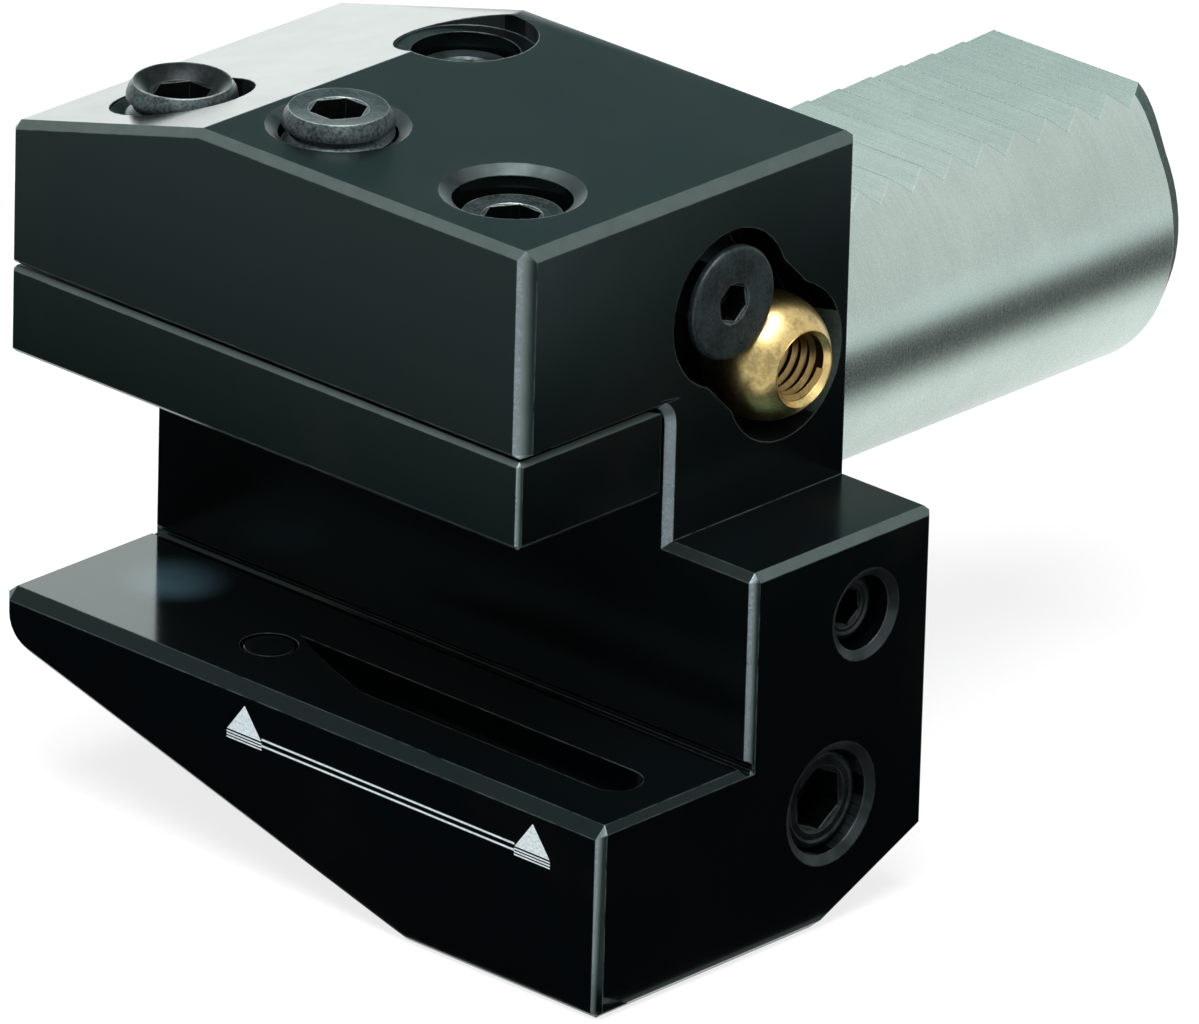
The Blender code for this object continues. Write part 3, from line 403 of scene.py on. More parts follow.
def bored_steel(name, colours, edge):
    """Drilled and countersunk faces: dark bare steel with the cutter's rings and lighter rims that are partly
    worn and partly a painted highlight.
    """
    finish = Finish(name)
    place = finish.place()
    rings = finish.noise(finish.stretched(place, (900, 900, 4200)), 1.0, 3.0, 0.6)
    stains = finish.noise(place, 260.0, 3.0, 0.6)
    nearness, rounded = finish.edge(edge)
    # Lighter rims along the edges: partly worn steel, partly a painted edge highlight.
    line = finish.step(nearness, 0.01, 0.09) * finish.step(stains, 0.35, 0.6)
    dark = tuple(0.45 * part for part in colours.bored)
    base = finish.mix(finish.step(stains, 0.33, 0.62), rgb(dark), rgb(colours.bored))
    base = finish.mix(line * 0.6, base, rgb(tuple(min(1.0, 3.0 * part) for part in colours.bored)))
    return finish.coat(
        Base_Color=base,
        Metallic=0.85,
        Roughness=0.34 + 0.16 * stains,
        Normal=finish.bump(rings, 0.006 * MM, 0.4, rounded),
    )


def oiled_steel(name, colours, edge, depth=1.0, rim=0.55, mottle=0.0):
    """Socket screws: oiled black oxide, lighter on rims (partly worn, partly a painted highlight), with a
    fine crystalline grain and mottling; depth scales the colour, and the near-black socket copies are painted
    shade.
    """
    finish = Finish(name)
    place = finish.place()
    grain = finish.noise(place, 3400.0, 4.0, 0.65)
    stains = finish.noise(place, 380.0, 3.0, 0.6)
    nearness, rounded = finish.edge(edge)
    # rim: how much ground steel goes into the edge lines, partly worn rims and partly a painted edge
    # highlight.
    line = finish.step(nearness, 0.008, 0.08) * finish.step(stains, 0.25, 0.6)
    tone = (0.5 + 0.3 * mottle) * grain + (0.5 - 0.3 * mottle) * stains
    # depth darkens the whole colour; at 0.12 to 0.16 it makes the socket copies that paint the shade inside
    # the hex holes.
    dark = tuple((0.30 - 0.16 * mottle) * part * depth for part in colours.screw)
    light = tuple(part * depth for part in colours.screw)
    base = finish.mix(finish.step(tone, 0.34 + 0.08 * mottle, 0.62), rgb(dark), rgb(light))
    base = finish.mix(line * rim, base, rgb(colours.ground))
    return finish.coat(
        Base_Color=base,
        Metallic=0.80,
        Roughness=0.30 + 0.18 * stains,
        Specular=0.30,
        Normal=finish.bump(grain, 0.016 * MM, 0.6, rounded),
    )


def turned_brass(name, colours, edge, tone=(1.0, 1.0, 1.0)):
    """Brass with the lathe's rings about the nozzle's axis and a few darker stains; tone dims its colour,
    which paints the shade inside the outlet's bore and thread.
    """
    finish = Finish(name)
    place = finish.place()
    rings = finish.noise(finish.stretched(place, (6200, 160, 160)), 1.0, 3.0, 0.6)
    stains = finish.noise(place, 300.0, 3.0, 0.6, 0.6)
    grain = finish.noise(place, 2600.0, 4.0, 0.65)
    rounded = finish.edge(edge)[1]
    light = tuple(share * part for share, part in zip(tone, colours.brass))
    dark = (0.34 * light[0], 0.38 * light[1], 0.40 * light[2])
    shaded = finish.step(stains * 0.6 + grain * 0.4, 0.44, 0.66)
    base = finish.mix(shaded * 0.75, rgb(light), rgb(dark))
    return finish.coat(
        Base_Color=base,
        Metallic=1.0,
        Roughness=0.20 + 0.12 * rings + 0.10 * stains,
        Normal=finish.bump(rings * 0.5 + grain * 0.5, 0.010 * MM, 0.6, rounded),
    )


def cut_steel_and_lit_wall(name, colours):
    """Dull cut steel: the shank's end chamfer, and on the nozzle pocket's far wall a paler finish that paints
    that wall's lit side.
    """
    finish = Finish(name)
    grain = finish.noise(finish.place(), 2400.0, 3.0, 0.6)
    dark = tuple(0.7 * part for part in colours.cut)
    base = finish.mix(finish.step(grain, 0.35, 0.65), rgb(dark), rgb(colours.cut))
    return finish.coat(
        Base_Color=base,
        Metallic=0.0,
        Roughness=0.6 + 0.1 * grain,
        Specular=0.02,
        Normal=finish.bump(grain, 0.003 * MM, 0.4),
    )


def bright_steel(name, colours, edge):
    """Bright drawn steel with a fine ringed grain."""
    finish = Finish(name)
    place = finish.place()
    grain = finish.noise(place, 3000.0, 3.0, 0.6)
    stains = finish.noise(place, 500.0, 3.0, 0.6)
    rounded = finish.edge(edge)[1]
    dark = tuple(0.6 * part for part in colours.bright)
    base = finish.mix(finish.step(stains, 0.35, 0.7), rgb(colours.bright), rgb(dark))
    return finish.coat(
        Base_Color=base,
        Metallic=1.0,
        Roughness=0.26 + 0.14 * grain,
        Normal=finish.bump(grain, 0.004 * MM, 0.4, rounded),
    )


def seal_rubber(name, colours):
    """Matt black rubber with a mould's faint bloom."""
    finish = Finish(name)
    place = finish.place()
    bloom = finish.noise(place, 700.0, 3.0, 0.6)
    grain = finish.noise(place, 5200.0, 2.0, 0.5)
    light = tuple(min(1.0, 1.9 * part) for part in colours.rubber)
    base = finish.mix(finish.step(bloom, 0.45, 0.75), rgb(colours.rubber), rgb(light))
    return finish.coat(
        Base_Color=base,
        Metallic=0.0,
        Roughness=0.58 + 0.18 * bloom,
        Normal=finish.bump(grain, 0.006 * MM, 0.5),
    )


def engraved_mark(name, colours):
    """The pale laser mark: a fine frosted grey."""
    finish = Finish(name)
    place = finish.place()
    frost = finish.noise(place, 4200.0, 3.0, 0.6)
    thin = tuple(0.62 * part for part in colours.mark)
    base = finish.mix(finish.step(frost, 0.3, 0.6), rgb(thin), rgb(colours.mark))
    return finish.coat(
        Base_Color=base,
        Metallic=0.0,
        Roughness=0.62 + 0.1 * frost,
        Specular=0.2,
        Normal=finish.bump(frost, 0.003 * MM, 0.4),
    )


# shapes


def new_piece(name, mesh, body, replaced=()):
    """Puts a finished mesh into the scene, to move with its body."""
    piece = bpy.data.objects.new(name, mesh)
    bpy.context.scene.collection.objects.link(piece)
    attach(piece, body)
    if replaced:
        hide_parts(*replaced)
    return piece


def aim(location, direction=(0, 0, 1)):
    """The turn and move that take +Z to a direction and the origin to a place."""
    turn = Vector((0, 0, 1)).rotation_difference(Vector(direction)).to_matrix().to_4x4()
    return Matrix.Translation(Vector(location)) @ turn


def shade_smooth(bm, angle=math.radians(30)):
    """Smooth shading that breaks at the sharp edges."""
    for face in bm.faces:
        face.smooth = True
    for edge in bm.edges:
        if len(edge.link_faces) == 2:
            edge.smooth = edge.calc_face_angle(0.0) < angle


def round_points(radius, height, shape, steps):
    """The points of one ring: a circle, or a hexagon given by its corner radius."""
    points = []
    for i in range(steps):
        angle = 2 * math.pi * i / steps
        reach = radius
        if shape == "hexagon":
            reach = radius * math.cos(math.pi / 6) / math.cos(angle % (math.pi / 3) - math.pi / 6)
        points.append(Vector((reach * math.cos(angle), reach * math.sin(angle), height)))
    return points


def turned(name, stations, finish, steps=96, closed=False, matrix=None, angle=30.0, deep=None):
    """A turned piece from (radius, height, shape) stations along +Z.

    The shape may be left out for a circle. deep is the finish from the first named shape on, a darker copy
    that paints the shade inside a socket or dish.
    """
    bm = bmesh.new()
    first = next((i for i, station in enumerate(stations) if len(station) > 2), len(stations))
    rings = []
    for radius, height, *shape in stations:
        if radius < 1e-9:
            rings.append([bm.verts.new((0, 0, height))])
        else:
            points = round_points(radius, height, shape[0] if shape else "circle", steps)
            rings.append([bm.verts.new(point) for point in points])
    pairs = list(zip(rings, rings[1:]))
    if closed:
        pairs.append((rings[-1], rings[0]))
    for index, (low, high) in enumerate(pairs):
        for i in range(steps):
            k = (i + 1) % steps
            corners = [low[i % len(low)], low[k % len(low)], high[k % len(high)], high[i % len(high)]]
            kept = list(dict.fromkeys(corners))
            if len(kept) > 2:
                bm.faces.new(kept).material_index = int(deep is not None and index >= first)
    bmesh.ops.recalc_face_normals(bm, faces=bm.faces)
    if matrix is not None:
        bmesh.ops.transform(bm, matrix=matrix, verts=bm.verts)
    shade_smooth(bm, math.radians(angle))
    mesh = bpy.data.meshes.new(name)
    bm.to_mesh(mesh)
    bm.free()
    mesh.materials.append(finish)
    if deep:
        mesh.materials.append(deep)
    return mesh


def quarter(radius, height, size, steps=4):
    """Stations of a rounded edge of that size, from the side up onto the face."""
    stations = []
    for i in range(steps + 1):
        angle = math.pi / 2 * i / steps
        stations.append((radius - size * (1 - math.cos(angle)), height - size + size * math.sin(angle)))
    return stations


def hex_socket(face, key, depth, flare=0.14 * MM, bottom=0.55 * MM):
    """Stations of a hexagon socket sunk from the face, with its flared mouth and drilled bottom."""
    corner = key / math.sqrt(3)
    return [
        (corner + flare, face),
        (corner + 0.02 * MM, face - flare * 0.9),
        (corner, face - flare * 1.6, "hexagon"),
        (corner, face - depth, "hexagon"),
        (key * 0.42, face - depth - 0.03 * MM),
        (0, face - depth - bottom),
    ]


def wound_tree(name, round_wire):
    """Geometry nodes that wind a wire, or the crest of a thread, up a helix."""
    tree = bpy.data.node_groups.new(name, "GeometryNodeTree")
    tree.is_modifier = True
    interface = tree.interface
    interface.new_socket("Geometry", in_out="INPUT", socket_type="NodeSocketGeometry")
    for label in ("Radius", "Height", "Turns", "Depth", "Width"):
        interface.new_socket(label, in_out="INPUT", socket_type="NodeSocketFloat")
    interface.new_socket("Steps", in_out="INPUT", socket_type="NodeSocketInt")
    interface.new_socket("Finish", in_out="INPUT", socket_type="NodeSocketMaterial")
    interface.new_socket("Geometry", in_out="OUTPUT", socket_type="NodeSocketGeometry")
    nodes, links = tree.nodes, tree.links
    given = nodes.new("NodeGroupInput")
    helix = nodes.new("GeometryNodeCurveSpiral")
    helix.inputs["Reverse"].default_value = True
    links.new(given.outputs["Steps"], helix.inputs["Resolution"])
    links.new(given.outputs["Turns"], helix.inputs["Rotations"])
    links.new(given.outputs["Radius"], helix.inputs["Start Radius"])
    links.new(given.outputs["Radius"], helix.inputs["End Radius"])
    links.new(given.outputs["Height"], helix.inputs["Height"])
    upright = nodes.new("GeometryNodeSetCurveNormal")
    upright.mode = "Z_UP"
    links.new(helix.outputs[0], upright.inputs["Curve"])
    if round_wire:
        section = nodes.new("GeometryNodeCurvePrimitiveCircle")
        section.inputs["Resolution"].default_value = 12
        links.new(given.outputs["Depth"], section.inputs["Radius"])
    else:
        section = nodes.new("GeometryNodeCurvePrimitiveQuadrilateral")
        section.mode = "POINTS"
        for index, (across, along) in enumerate(((1, 0), (0, 1), (-1, 0), (0, -1))):
            corner = nodes.new("ShaderNodeCombineXYZ")
            for axis, (label, sign) in enumerate((("Depth", across), ("Width", along))):
                scaled = nodes.new("ShaderNodeMath")
                scaled.operation = "MULTIPLY"
                scaled.inputs[1].default_value = sign
                links.new(given.outputs[label], scaled.inputs[0])
                links.new(scaled.outputs[0], corner.inputs[axis])
            links.new(corner.outputs[0], section.inputs[f"Point {index + 1}"])
    sweep = nodes.new("GeometryNodeCurveToMesh")
    sweep.inputs["Fill Caps"].default_value = True
    links.new(upright.outputs[0], sweep.inputs["Curve"])
    links.new(section.outputs[0], sweep.inputs["Profile Curve"])
    realized = nodes.new("GeometryNodeRealizeInstances")
    links.new(sweep.outputs[0], realized.inputs[0])
    painted = nodes.new("GeometryNodeSetMaterial")
    links.new(realized.outputs[0], painted.inputs["Geometry"])
    links.new(given.outputs["Finish"], painted.inputs["Material"])
    result = nodes.new("NodeGroupOutput")
    links.new(painted.outputs[0], result.inputs[0])
    return tree


def wound(name, tree, matrix, **values):
    """Runs a winding tree on an empty object and keeps its result as a plain mesh."""
    host = bpy.data.objects.new(name, bpy.data.meshes.new(name))
    bpy.context.scene.collection.objects.link(host)
    modifier = host.modifiers.new("Wind", "NODES")
    modifier.node_group = tree
    for item in tree.interface.items_tree:
        if item.item_type == "SOCKET" and item.in_out == "INPUT" and item.name in values:
            modifier[item.identifier] = values[item.name]
    bpy.context.view_layer.update()
    graph = bpy.context.evaluated_depsgraph_get()
    mesh = bpy.data.meshes.new_from_object(host.evaluated_get(graph), depsgraph=graph)
    host.modifiers.remove(modifier)
    bpy.data.objects.remove(host)
    bm = bmesh.new()
    bm.from_mesh(mesh)
    bmesh.ops.remove_doubles(bm, verts=bm.verts, dist=1e-7)
    bmesh.ops.transform(bm, matrix=matrix, verts=bm.verts)
    bmesh.ops.recalc_face_normals(bm, faces=bm.faces)
    shade_smooth(bm, math.radians(50))
    bm.to_mesh(mesh)
    bm.free()
    mesh.name = name
    return mesh


# the head and the bar


def near_axis(point, axis, first, second, reach):
    """Whether a point lies within reach of a line along one axis."""
    others = [point[i] for i in range(3) if i != axis]
    return math.hypot(others[0] - first, others[1] - second) < reach


def in_hole(point):
    """Whether a point of the head lies on the wall of one of its holes."""
    lines = [(0, *VALVE_AXIS, "valve"), (0, *SIDE_PLUG_AXIS, "side_plug"), (2, *RISER, "riser")]
    lines += [(1, *spot, "port") for spot in PORTS]
    if point.z > UNDER_BLOCK:
        lines += [(2, x, CLAMP_ROW, "clamp") for x in CLAMP_XS.values()]
        lines += [(2, x, CLAMP_ROW, "hanger") for x in HANGER_XS]
    if point.z < SEAT_TOP - 0.05 * MM:
        lines.append((2, *SEAT_PLUG_SPOT, "seat_plug"))
    return in_pocket(point) or any(near_axis(point, *line, HOLE_REACH[hole]) for *line, hole in lines)


def in_pocket(point):
    """Whether a point lies in the two-lobed pocket of the nozzle."""
    if not POCKET_FLOOR < point.x < BLOCK_RIGHT - SLACK:
        return False
    first, second = Vector(NOZZLE_SCREW_AXIS), Vector(BALL_MIDDLE[1:])
    along = second - first
    share = max(0.0, min(1.0, (Vector((point.y, point.z)) - first).dot(along) / along.length_squared))
    return (Vector((point.y, point.z)) - first - along * share).length < POCKET_REACH


def in_groove(point):
    """Whether a point lies in the coolant groove of the seat."""
    return point.z < SEAT_TOP - SLACK and abs(point.y - GROOVE_ROW) < GROOVE_REACH


def flat_regions(bm):
    """Groups of faces that lie in one plane and touch."""
    left = set(bm.faces)
    while left:
        seed = left.pop()
        region, front = [seed], [seed]
        while front:
            face = front.pop()
            for edge in face.edges:
                for other in edge.link_faces:
                    if other in left and other.normal.dot(seed.normal) > 0.9998:
                        left.discard(other)
                        region.append(other)
                        front.append(other)
        yield region


def narrow(region):
    """Whether a flat region is a strip, as a chamfer is."""
    points = [vertex.co for face in region for vertex in face.verts]
    spans = [max(p[i] for p in points) - min(p[i] for p in points) for i in range(3)]
    reach = math.sqrt(sum(span * span for span in spans))
    return sum(face.calc_area() for face in region) / max(reach, 1e-9) < 2.1 * MM


def rub(point, normal, low, high):
    """How far the blackening has worn off at a corner of a chamfer; past 0.9 it is bare, below 0.1 whole."""
    if normal.x > 0.3 and normal.y < -0.3:
        share = (point.x - low) / max(high - low, 1e-9)
        if high > HEAD_RIGHT - MM:
            if point.y > FRONT_PART:
                return 1.25 - 1.35 * share
            return 0.75 + 0.35 * (point.z - CAD_BOX[0][2]) / (17.5 * MM) - 1.25 * share
        if point.y > FRONT_PART:
            return 0.78
        return 1.0 - 1.0 * share
    if normal.y < -0.3 and normal.z > 0.3:
        if point.z < SEAT_TOP + MM:
            return 0.60
        return 0.24 if point.y > FRONT_PART else 0.42
    if normal.x > 0.3 and normal.z > 0.3:
        return 0.43 if point.z > SEAT_TOP + MM else 0.33
    return 0.28


def mark_wear(bm, skip):
    """Stores at each face's corners how much hands and tools have rubbed a chamfer."""
    layer = bm.loops.layers.float.new("worn")
    for region in flat_regions(bm):
        normal = region[0].normal
        slanted = sum(abs(part) > 0.25 for part in normal) > 1
        worn = slanted and narrow(region) and not skip(region[0].calc_center_median(), normal)
        across = [vertex.co.x for face in region for vertex in face.verts]
        for face in region:
            for loop in face.loops:
                loop[layer] = rub(loop.vert.co, normal, min(across), max(across)) if worn else 0.0


def merged_copy(node):
    """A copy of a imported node's mesh with its loose triangles joined."""
    bm = bmesh.new()
    bm.from_mesh(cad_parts[node].data)
    bmesh.ops.remove_doubles(bm, verts=bm.verts, dist=1e-6)
    for edge in bm.edges:
        if len(edge.link_faces) == 2:
            bend = edge.calc_face_angle(0.0)
            long_bend = bend > math.radians(14) and edge.calc_length() > 20 * MM
            edge.smooth = not (bend > math.radians(30) or long_bend)
    for face in bm.faces:
        face.smooth = True
    return bm


def head_finish(face):
    """Which of the head's finishes a face has: 0 black, 1 ground, 2 seat, 3 bored, 4 cut; in the nozzle
    pocket the bored and cut finishes paint the lit sides.
    """
    middle = face.calc_center_median()
    normal = face.normal
    if middle.y > 2.9 * MM and math.hypot(middle.x, middle.z) < 15.4 * MM:
        return 4 if normal.y > 0.3 and middle.y > 52.5 * MM and normal.y < 0.9 else 1
    if abs(middle.z - SEAT_TOP) < SLACK and normal.z > 0.99:
        return 2
    if in_groove(middle) and not in_hole(middle):
        return 2
    if in_pocket(middle):
        # In the pocket, the far wall takes the paler cut finish and upturned faces the bored steel: painted
        # lit sides; the rest stays black.
        if normal.y < -0.6 and abs(normal.x) < 0.5 and middle.z < 11.5 * MM:
            return 4
        return 3 if normal.z > 0.25 else 0
    if in_hole(middle):
        mouth = max(abs(part) for part in normal) < 0.96
        outer = middle.z > 24 * MM or middle.x > 30 * MM
        return 3 if mouth and outer else 0
    return 0


def soft(share):
    """A soft step from 0 to 1."""
    share = max(0.0, min(1.0, share))
    return share * share * (3 - 2 * share)


def slope_shank_end(bm):
    """Gives the shank's free end its long shallow chamfer, which dies out at the toothed flat."""
    root, end, radius = 53.7 * MM, 55 * MM, 15 * MM
    rise_start, rise_foot, rise, pitch = 52.2 * MM, 11.2 * MM, 1.2 * MM, 2.8 * MM
    turn, fade = math.radians(40), math.radians(28)
    for vertex in bm.verts:
        x, y, z = vertex.co
        reach = math.hypot(x, z)
        if not root - 0.01 * MM < y < end + 0.01 * MM or abs(reach - radius + y - root) > 0.03 * MM:
            continue
        land = rise_foot + (y - rise_start) * rise / pitch
        angle = math.atan2(z, abs(x))
        before, after = math.asin(land / reach), math.asin(land / radius)
        if angle > turn:
            angle = turn + (min(angle, before) - turn) * (after - turn) / (before - turn)
        kept = 1 - soft((angle - fade) / (after - fade))
        reach = radius - (y - root) * kept
        across, up = reach * math.cos(angle), reach * math.sin(angle)
        vertex.co = (math.copysign(across, x), y - kept * (end - y) * 0.62, up)


def sink_front(bm):
    """Sets the front face back by a hair, so that the range mark can lie in front of it."""
    for vertex in bm.verts:
        if abs(vertex.co.y - HEAD_FRONT) < 0.001 * MM:
            vertex.co.y = HEAD_FRONT + 0.01 * MM


def make_head(sizes, colours):
    """The head and its shank in their several finishes."""
    bm = merged_copy("holder_body")
    slope_shank_end(bm)
    sink_front(bm)

    def keep_black(middle, normal):
        """Faces that no hand reaches."""
        tip = abs(normal.y) < 0.1 and middle.x < -30.5 * MM
        return tip or middle.y > 0.2 * MM or in_hole(middle) or in_groove(middle)

    mark_wear(bm, keep_black)
    for face in bm.faces:
        face.material_index = head_finish(face)
    mesh = bpy.data.meshes.new("head")
    bm.to_mesh(mesh)
    bm.free()
    mesh.materials.append(blackened_steel("blackened_head", colours, sizes.edge))
    mesh.materials.append(ground_steel("ground_shank", colours, sizes.edge))
    mesh.materials.append(seat_steel(colours, sizes.edge))
    mesh.materials.append(bored_steel("bored_mouths", colours, sizes.edge))
    mesh.materials.append(cut_steel_and_lit_wall("cut_chamfer_and_lit_pocket_wall", colours))
    return new_piece("head", mesh, "holder", ("holder_body",))


def make_bar(sizes, colours):
    """The clamping bar with its rubbed edges."""
    bm = merged_copy("clamp_bar")

    def keep_black(middle, normal):
        """The bar's own holes."""
        return abs(normal.y) > 0.2 and abs(normal.x) > 0.2 and abs(normal.z) < 0.1 and middle.y > -39 * MM

    mark_wear(bm, keep_black)
    mesh = bpy.data.meshes.new("pressing_bar")
    bm.to_mesh(mesh)
    bm.free()
    mesh.materials.append(blackened_steel("blackened_bar", colours, sizes.edge))
    return new_piece("pressing_bar", mesh, "bar", ("clamp_bar",))


# screws


def make_clamp_screws(sizes, colours):
    """The three socket thrust screws with their threads."""
    finish = oiled_steel("clamp_screw_steel", colours, sizes.edge, 1.15, 0.85, 0.4)
    # The socket copy is near black: painted shade inside the hex socket and, on the left screw, in its sunk
    # dish.
    deep = oiled_steel("clamp_socket_painted_shade", colours, sizes.edge, 0.16, 0.12)
    tree = wound_tree("thread_crest", round_wire=False)
    for side, x in CLAMP_XS.items():
        low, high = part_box(f"clamp_screw_{side}")
        top = high.z - low.z
        radius = (high.x - low.x) / 2
        core = radius - sizes.clamp_thread
        dish = 0.95 * MM if side == "left" else 0.14 * MM
        # On the left screw the painted socket shade starts at the rim of its dish.
        shade_from_rim = ("circle",) if side == "left" else ()
        stations = [
            (0, 0),
            (core - 1.1 * MM, 0),
            (core - 0.9 * MM, 0.06 * MM),
            (core, 1.0 * MM),
            (core, top - 1.85 * MM),
            (radius - 0.02 * MM, top - 1.45 * MM),
            (radius - 0.02 * MM, top - 1.15 * MM),
            (4.62 * MM, top - 0.60 * MM),
            (4.22 * MM, top),
            (4.02 * MM, top - 0.02 * MM, *shade_from_rim),
            (2.72 * MM, top - dish),
            *hex_socket(top - dish, 4.4 * MM, 4.6 * MM, flare=0.03 * MM),
        ]
        place = aim((x, CLAMP_ROW, low.z))
        mesh = turned(f"clamp_stud_{side}", stations, finish, matrix=place, deep=deep)
        new_piece(f"clamp_stud_{side}", mesh, f"screw_{side}", (f"clamp_screw_{side}",))
        length = top - 2.6 * MM
        ridge = wound(
            f"clamp_thread_{side}", tree, aim((x, CLAMP_ROW, low.z + 1.1 * MM)),
            Radius=core, Height=length, Turns=length / sizes.clamp_pitch, Depth=sizes.clamp_thread,
            Width=sizes.clamp_pitch * 0.44, Steps=56, Finish=finish,
        )
        new_piece(f"clamp_thread_{side}", ridge, f"screw_{side}")


def make_hangers(sizes, colours):
    """The low cap screws that carry the bar."""
    finish = oiled_steel("hanger_steel", colours, sizes.edge, 0.9)
    for side in ("left", "right"):
        low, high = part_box(f"hanger_screw_{side}")
        head = (high.x - low.x) / 2
        shank = 1.9 * MM
        top = high.z - low.z
        stations = [
            (0, top), (shank - 0.5 * MM, top), (shank, top - 0.5 * MM), (shank, 2.0 * MM),
            (head - 0.1 * MM, 2.0 * MM), (head, 1.9 * MM), (head, 0.14 * MM), (head - 0.14 * MM, 0.0),
            (1.75 * MM, 0.0), (1.56 * MM, 0.16 * MM), (1.52 * MM, 0.2 * MM, "hexagon"),
            (1.52 * MM, 1.2 * MM, "hexagon"), (1.1 * MM, 1.22 * MM), (0, 1.5 * MM),
        ]
        place = aim(((low.x + high.x) / 2, CLAMP_ROW, low.z))
        mesh = turned(f"hanger_{side}", stations, finish, matrix=place)
        new_piece(f"hanger_{side}", mesh, "holder", (f"hanger_screw_{side}",))


def make_springs(sizes, colours):
    """The two springs that lift the bar."""
    finish = bright_steel("spring_wire", colours, sizes.edge)
    tree = wound_tree("wound_spring", round_wire=True)
    for side in ("left", "right"):
        low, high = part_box(f"bar_spring_{side}")
        wire = sizes.wire / 2
        radius = (high.x - low.x) / 2 - wire
        middle = ((low.x + high.x) / 2, (low.y + high.y) / 2)
        height = high.z - low.z - 2 * wire
        mesh = wound(
            f"lifting_spring_{side}", tree, aim((middle[0], middle[1], low.z + wire)),
            Radius=radius, Height=height, Turns=sizes.spring_turns, Depth=wire, Width=wire, Steps=64,
            Finish=finish,
        )
        replaced = (f"bar_spring_{side}",)
        spring = new_piece(f"lifting_spring_{side}", mesh, "holder", replaced)
        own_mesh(spring)


def make_nozzle(sizes, colours):
    """The brass ball and its threaded outlet."""
    finish = turned_brass("turned_brass", colours, sizes.edge * 0.6)
    # Darker copies of the brass for the bore and the thread: painted shade inside the outlet.
    deep = turned_brass("bore_brass_painted_shade", colours, sizes.edge * 0.6, (0.12, 0.108, 0.096))
    thread = turned_brass("threaded_brass_painted_shade", colours, sizes.edge * 0.6, (0.50, 0.45, 0.40))
    low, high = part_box("nozzle_ball")
    radius = 5.6 * MM
    flat = high.x - BALL_MIDDLE[0]
    back = BALL_MIDDLE[0] - low.x
    start = math.acos(flat / radius)
    end = math.pi - math.acos(back / radius)
    outside = []
    for i in range(49):
        angle = start + (end - start) * i / 48
        outside.append((radius * math.sin(angle), radius * math.cos(angle)))
    inside = [
        (1.9 * MM, -back),
        (1.9 * MM, flat - 7.0 * MM),
        (2.95 * MM, flat - 6.2 * MM),
        (2.95 * MM, flat - 0.55 * MM),
        (3.42 * MM, flat),
    ]
    stations = outside + inside
    place = aim(BALL_MIDDLE, (1, 0, 0))
    mesh = turned("coolant_ball", stations, finish, steps=128, closed=True, matrix=place)
    mesh.materials.append(deep)
    # Faces of the bore take the painted shade.
    for face in mesh.polygons:
        if math.hypot(face.center.y - BALL_MIDDLE[1], face.center.z - BALL_MIDDLE[2]) < 3.0 * MM:
            face.material_index = 1
    new_piece("coolant_ball", mesh, "nozzle", ("nozzle_ball",))
    tree = wound_tree("outlet_crest", round_wire=False)
    bottom = (high.x - 6.0 * MM, BALL_MIDDLE[1], BALL_MIDDLE[2])
    length = 5.2 * MM
    ridge = wound(
        "coolant_ball_thread", tree, aim(bottom, (1, 0, 0)),
        Radius=2.98 * MM, Height=length, Turns=length / sizes.outlet_pitch, Depth=sizes.outlet_thread,
        Width=sizes.outlet_pitch * 0.36, Steps=64, Finish=thread,
    )
    new_piece("coolant_ball_thread", ridge, "nozzle")


def make_nozzle_screw(sizes, colours):
    """The countersunk screw that holds the ball in its seat."""
    finish = oiled_steel("nozzle_screw_steel", colours, sizes.edge, 0.62, 0.3)
    # The socket copy is near black: painted shade inside the hex socket.
    deep = oiled_steel("nozzle_socket_painted_shade", colours, sizes.edge, 0.12, 0.1)
    low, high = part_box("nozzle_screw")
    length = high.x - low.x
    head = (high.y - low.y) / 2
    stations = [
        (0, 0), (1.8 * MM, 0), (2.4 * MM, 0.6 * MM), (2.4 * MM, length - 3.2 * MM),
        (head, length - 0.62 * MM),
        *quarter(head, length, 0.3 * MM), (head - 0.5 * MM, length), (1.98 * MM, length),
        *hex_socket(length, 3.0 * MM, 2.4 * MM, flare=0.10 * MM),
    ]
    place = aim((low.x, *NOZZLE_SCREW_AXIS), (1, 0, 0)) @ Matrix.Rotation(math.radians(10), 4, "Z")
    mesh = turned("ball_screw", stations, finish, matrix=place, deep=deep)
    new_piece("ball_screw", mesh, "nozzle_clamp", ("nozzle_screw",))


def socket_screw(
    name, node, direction, key, depth, finish, deep, body, rim=0.5 * MM, turn=0.0, dish=0.0
):
    """A headless socket screw in the place of a packed one, its socket looking along direction."""
    low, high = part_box(node)
    axis = max(range(3), key=lambda i: abs(direction[i]))
    length = high[axis] - low[axis]
    others = [i for i in range(3) if i != axis]
    radius = (high[others[0]] - low[others[0]]) / 2
    foot = (low + high) / 2
    foot[axis] = low[axis]
    face = length - dish
    stations = [
        (0, 0), (radius - 0.9 * MM, 0), (radius, 0.9 * MM), (radius, length - rim),
        *quarter(radius, length, rim, steps=5),
        (radius - rim - 0.10 * MM, length), (radius - rim - 0.22 * MM, face), (key * 0.66, face),
        *hex_socket(face, key, depth),
    ]
    place = aim(foot, direction) @ Matrix.Rotation(turn, 4, "Z")
    mesh = turned(name, stations, finish, matrix=place, deep=deep)
    return new_piece(name, mesh, body, (node,))


